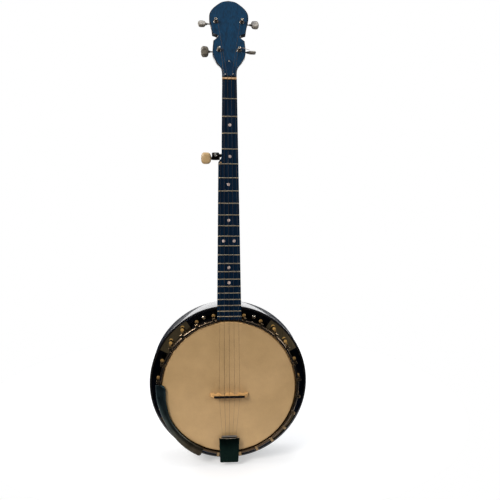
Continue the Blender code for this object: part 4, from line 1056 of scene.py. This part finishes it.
def button_shape(centre, size, side):
    """A flat grip with softened corners and thin edges. size is along the shaft, across it, and thick."""
    half, reach, thick = size[0] / 2, size[1] / 2, size[2] / 2
    corners = ((-1.0, 0.0), (-1.0, 0.34), (-0.90, 0.64), (-0.62, 0.91), (-0.30, 0.98), (0.35, 1.0),
               (0.66, 0.93), (0.92, 0.66), (1.02, 0.34), (1.02, 0.0))
    edge = smooth_run(corners, 5) + [Vector(corners[-1])]
    ring = edge + [Vector((x, -y)) for x, y in reversed(edge[1:-1])]
    upper = ((0.20, 1.0), (0.55, 0.95), (0.84, 0.84), (0.98, 0.70), (1.0, 0.50))
    levels = [(-level, scale) for level, scale in reversed(upper)] + list(upper)
    return loft([[(side * (centre + half * (x * scale)), reach * y * scale, thick * level) for x, y in ring]
                 for level, scale in levels])


def make_button(name, base, side, quarters, reach, size, look):
    """A tuner's button on its shaft, with the worm at the shaft's other end."""
    body = f"button_{name}"
    frame_at = at(*JOINTS[body + "_spin"]) @ base.to_3x3().to_4x4() @ turn(90 * quarters, "X")
    cad = (f"tuner_button_{name}",)
    piece(f"button_grip_{name}", button_shape(reach, size, side), look, body, frame_at, cad, sharp=70)
    shaft = bmesh.new()
    end = reach - size[0] / 2
    worm_radius, worm_half = 0.0015, 0.0058
    profile = [(0.0, -worm_half), (worm_radius, -worm_half)]
    for k in range(1, 24):
        profile.append((worm_radius + (0.0003 if k % 2 else -0.0002), -worm_half + 0.0116 * k / 24))
    profile += [(0.0014, 0.0060), (0.0014, end - 0.0040), (0.0022, end - 0.0036), (0.0025, end - 0.0020),
                (0.0031, end + 0.0006), (0.0026, end + 0.0012), (0.0, end + 0.0012)]
    add_mesh(shaft, lathe(profile, 24, False), turn(90 * side, "Y"))
    tip = reach + size[0] / 2
    screw_head(shaft, (side * (tip - 0.0003), 0, 0), (side, 0, 0), 0.0018, 0.0008)
    piece(f"worm_shaft_{name}", shaft, "dull" if look == "pearl" else "nickel", body, frame_at, cad)


def make_housing(name, base, side, wood, stub=0.0):
    """The gear's case behind the wood, with its bushing in front. base is at the post, on the wood's face."""
    cad = (f"tuner_housing_{name}",)
    top = -wood - GAP
    bottom = top - 0.0120
    level = -wood - WORM_DEPTH
    half, long_end, short_end, corner = 0.0075, 0.0090, 0.0058, 0.0030
    loops = []
    for height, inset in ((top, 0.0), (bottom + 0.0026, 0.0), (bottom + 0.0012, 0.0004),
                          (bottom + 0.0004, 0.0012), (bottom, 0.0024)):
        outline = [(half - inset, short_end - inset, corner), (-half + inset, short_end - inset, corner),
                   (-half + inset, -long_end + inset, corner), (half - inset, -long_end + inset, corner)]
        loops.append([(x, y, height) for x, y in rounded(outline, 5)])
    case = loft(loops)
    add_mesh(case, turned([(0.0, bottom - 0.0012, 0), (0.0038, bottom - 0.0012, 0.0004),
                           (0.0047, bottom + 0.0006, 0.0003), (0.0, bottom + 0.0006, 0)], 3, 36, False))
    tunnel = turned([(0.0019, -0.0088, 0.0002), (0.0033, -0.0088, 0.0006), (0.0036, -0.0070, 0.0003),
                     (0.0036, 0.0070, 0.0003), (0.0033, 0.0088, 0.0006), (0.0019, 0.0088, 0.0002)], 3, 28)
    add_mesh(case, tunnel, at(0, -0.0055, level) @ turn(90, "Y"))
    ear = 0.0016
    if wood:
        near, far, wide = 0.0040, 0.0118, 0.0034
        slab(rounded([(wide, near, 0.0), (wide, far, corner), (-wide, far, corner), (-wide, near, 0.0)], 6),
             top - ear, top, case)
    if stub:
        cylinder(case, 0.0035, (-side * 0.0070, 0, level), (-side * (0.0070 + stub), 0, level), 28)
    made = piece(f"gear_case_{name}", case, "case" if wood else "dark_case", frame_of=base, replaced=cad)
    soften(made, 0.00025, 2, 45)
    screws = bmesh.new()
    screw_head(screws, (0, 0, bottom - 0.0011), (0, 0, -1), 0.0021, 0.0011)
    if wood:
        screw_head(screws, (0, 0.0087, top - ear), (0, 0, -1), 0.0017, 0.0009)
    piece(f"case_screws_{name}", screws, "nickel", frame_of=base)
    bushing = bmesh.new()
    add_mesh(bushing, turned([
        (0.0034, 0.0002, 0), (0.0034, 0.0023, 0.0003), (0.0044, 0.0019, 0.0008), (0.0044, 0.0002, 0)], 3, 36))
    add_mesh(bushing, turned([
        (0.0036, 0.0001, 0), (0.0036, 0.0008, 0), (0.0049, 0.0006, 0.0003), (0.0051, 0.0001, 0)], 2, 36))
    piece(f"post_bushing_{name}", bushing, "dull" if wood else "dark_case", frame_of=base, replaced=cad)


def make_post(name, base, wood):
    """The string post: a waisted barrel with a cross hole for the string, standing on its gear."""
    level, waist = -wood - WORM_DEPTH, POST_WAIST
    top = waist + 0.0085
    radius, thin, gear, gear_half = 0.0030, 0.0024, 0.0037, 0.0017
    barrel = turned([
        (0.0, top - 0.0006, 0), (0.0016, top - 0.0004, 0.0004), (0.0023, top, 0.0003),
        (radius, top - 0.0006, 0.0006), (radius, waist + 0.0058, 0.0004), (thin, waist + 0.0046, 0.0006),
        (thin, waist + 0.0009, 0.0006), (radius, waist, 0.0003), (radius, level + gear_half, 0),
        (gear, level + gear_half, 0), (gear, level - gear_half, 0),
        (0.0, level - gear_half, 0)], 3, 36, False)
    post = piece(f"string_post_{name}", barrel, "case", f"post_{name}", base, (f"tuner_post_{name}",), 45)
    hole = cylinder(bmesh.new(), 0.0007, (0, -0.004, waist + 0.0052), (0, 0.004, waist + 0.0052), 16)
    carve(post, hole, base)


def make_tuners():
    for name, (x, y, button_x, quarters) in TUNERS.items():
        side = -1 if x > 0 else 1
        base = PEGHEAD @ at(x, y) @ turn(180)
        make_button(name, base, side, quarters, abs(button_x - x), BUTTON_SIZE, "pearl")
        make_housing(name, base, side, PEGHEAD_THICKNESS)
        make_post(name, base, PEGHEAD_THICKNESS)
    base = NECK @ at(*FIFTH_POST, FIFTH_FACE)
    make_button("fifth", base, -1, 0.0, 0.0190, FIFTH_SIZE, "cream")
    make_housing("fifth", base, -1, 0.0, 0.0095)
    make_post("fifth", base, 0.0)


# ---- bridge and tailpiece
def make_bridge():
    top, height, base = 0.032, 0.0142, 0.040
    arch = [(0.0065 + 0.0130 * k / 16, 0.0078 * math.sin(math.pi * k / 16) ** 0.6) for k in range(17)]
    notch = ((0.0245, 0.0), (0.0262, 0.0030), (0.0285, 0.0044), (0.0310, 0.0030), (0.0325, 0.0))
    right = [Vector(point) for point in ((0.0, 0.0), *arch, *notch)]
    right += rounded([(base, 0.0, 0), (base, 0.0030, 0.0010), (top + 0.0022, 0.0092, 0.004),
                      (top, height, 0)], 4, closed=False)
    block = loft([[(x, side * (0.00425 - 0.00255 * y / height), y) for x, y in right + mirrored(right[1:])]
                  for side in (1, -1)])
    where = POT @ at(0, -0.0155, HEAD_FRONT + GAP)
    soften(piece("bridge_block", block, "maple", frame_of=where, replaced=("bridge",)), 0.0003)
    strip = piece("bridge_top", box(bmesh.new(), (-top, -0.0024, height), (top, 0.0024, height + 0.0017)),
                  "strip", frame_of=where, replaced=("bridge_saddle",))
    soften(strip, 0.0003)


def make_tailpiece():
    cover_low, cover_high = low("tailpiece_cover"), high("tailpiece_cover")
    front, back = -0.1075, -0.1605
    base, crown = -cover_high.y, -cover_low.y
    wide, narrow = 0.0215, 0.0193
    wall = 0.0011

    def tray(inset, bottom, top, tuck, front_at, back_at):
        loops = []
        for level, pull in ((bottom, 0.0), (top - 0.0016, 0.0), (top - 0.0005, 0.0005), (top, 0.0016)):
            corners = [(wide - inset - pull, front_at - tuck * pull, 0.0012),
                       (narrow - inset - pull, back_at + pull, 0.0030),
                       (-narrow + inset + pull, back_at + pull, 0.0030),
                       (-wide + inset + pull, front_at - tuck * pull, 0.0012)]
            loops.append([(x, y, level) for x, y in rounded(corners, 5)])
        return loft(loops)

    cover = piece("cover_shell", tray(0.0, base, crown, 1.0, front, back), "cover", "cover", POT,
                  ("tailpiece_cover",), 40)
    carve(cover, tray(wall, base - 0.006, crown - wall, 0.0, front + 0.006, back + wall))
    soften(cover, 0.0003)
    freeze(cover)
    lip = tube([(x, front - 0.0002, crown - 0.0007 - 5.6 * x * x)
                for x in (-0.0205 + 0.0410 * k / 24 for k in range(25))], 0.00045, 14)
    piece("cover_lip", lip, "nickel", "cover")
    loops = bmesh.new()
    eye, coil = 0.0019, 0.0004
    for order in range(-2, 3):
        x = 0.0072 * order
        ring = [(x + eye * math.cos(a), -0.1165 + eye * math.sin(a), 0.1027) for a in angles(16)]
        tube(ring, 0.00028, 8, loops)
        twist = [(x + coil * math.cos(k * 1.3), -0.1146 + 0.0105 * k / 26, 0.1026 + coil * math.sin(k * 1.3))
                 for k in range(27)]
        tube(twist, 0.00025, 8, loops)
    piece("string_loops", loops, "steel")


def make_string_tails():
    """The cut ends of the strings at their posts. The first one sticks out past the peghead's edge."""
    tails = bmesh.new()
    x, y = TUNERS["first"][:2]
    tube([(x + 0.0008, y + 0.0022, 0.0070), (x + 0.006, y + 0.0018, 0.0066), (x + 0.012, y + 0.0008, 0.0048),
          (x + 0.0205, y - 0.0002, 0.0026)], 0.00045, 8, tails)
    for name, way in (("second", 1), ("third", -1), ("fourth", -1)):
        x, y = TUNERS[name][:2]
        tube([(x, y + 0.0022, 0.0072), (x + way * 0.0016, y + 0.0036, 0.0076),
              (x + way * 0.0030, y + 0.0044, 0.0070)], 0.00022, 8, tails)
    piece("string_ends", tails, "steel", frame_of=PEGHEAD)


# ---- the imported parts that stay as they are
KEPT = {
    "nickel": ("tone_ring",),
    "dull": ("tailpiece_base",),
    "steel": ("coordinator_rod",) + tuple(f"string_{n}" for n in (*TUNERS, "fifth")),
}


def finish_kept_nodes():
    for look, nodes in KEPT.items():
        finish, _ = LOOKS[look]
        for name in nodes:
            for slot in frame["nodes"][name].material_slots:
                slot.material = finish.material


make_camera()
make_studio()
make_floor()
make_resonator()
make_flange()
make_drum()
make_hooks()
make_rim()
make_armrest()
make_neck()
make_fingerboard()
make_nut()
make_truss_cover()
make_tuners()
make_bridge()
make_tailpiece()
make_string_tails()
finish_kept_nodes()
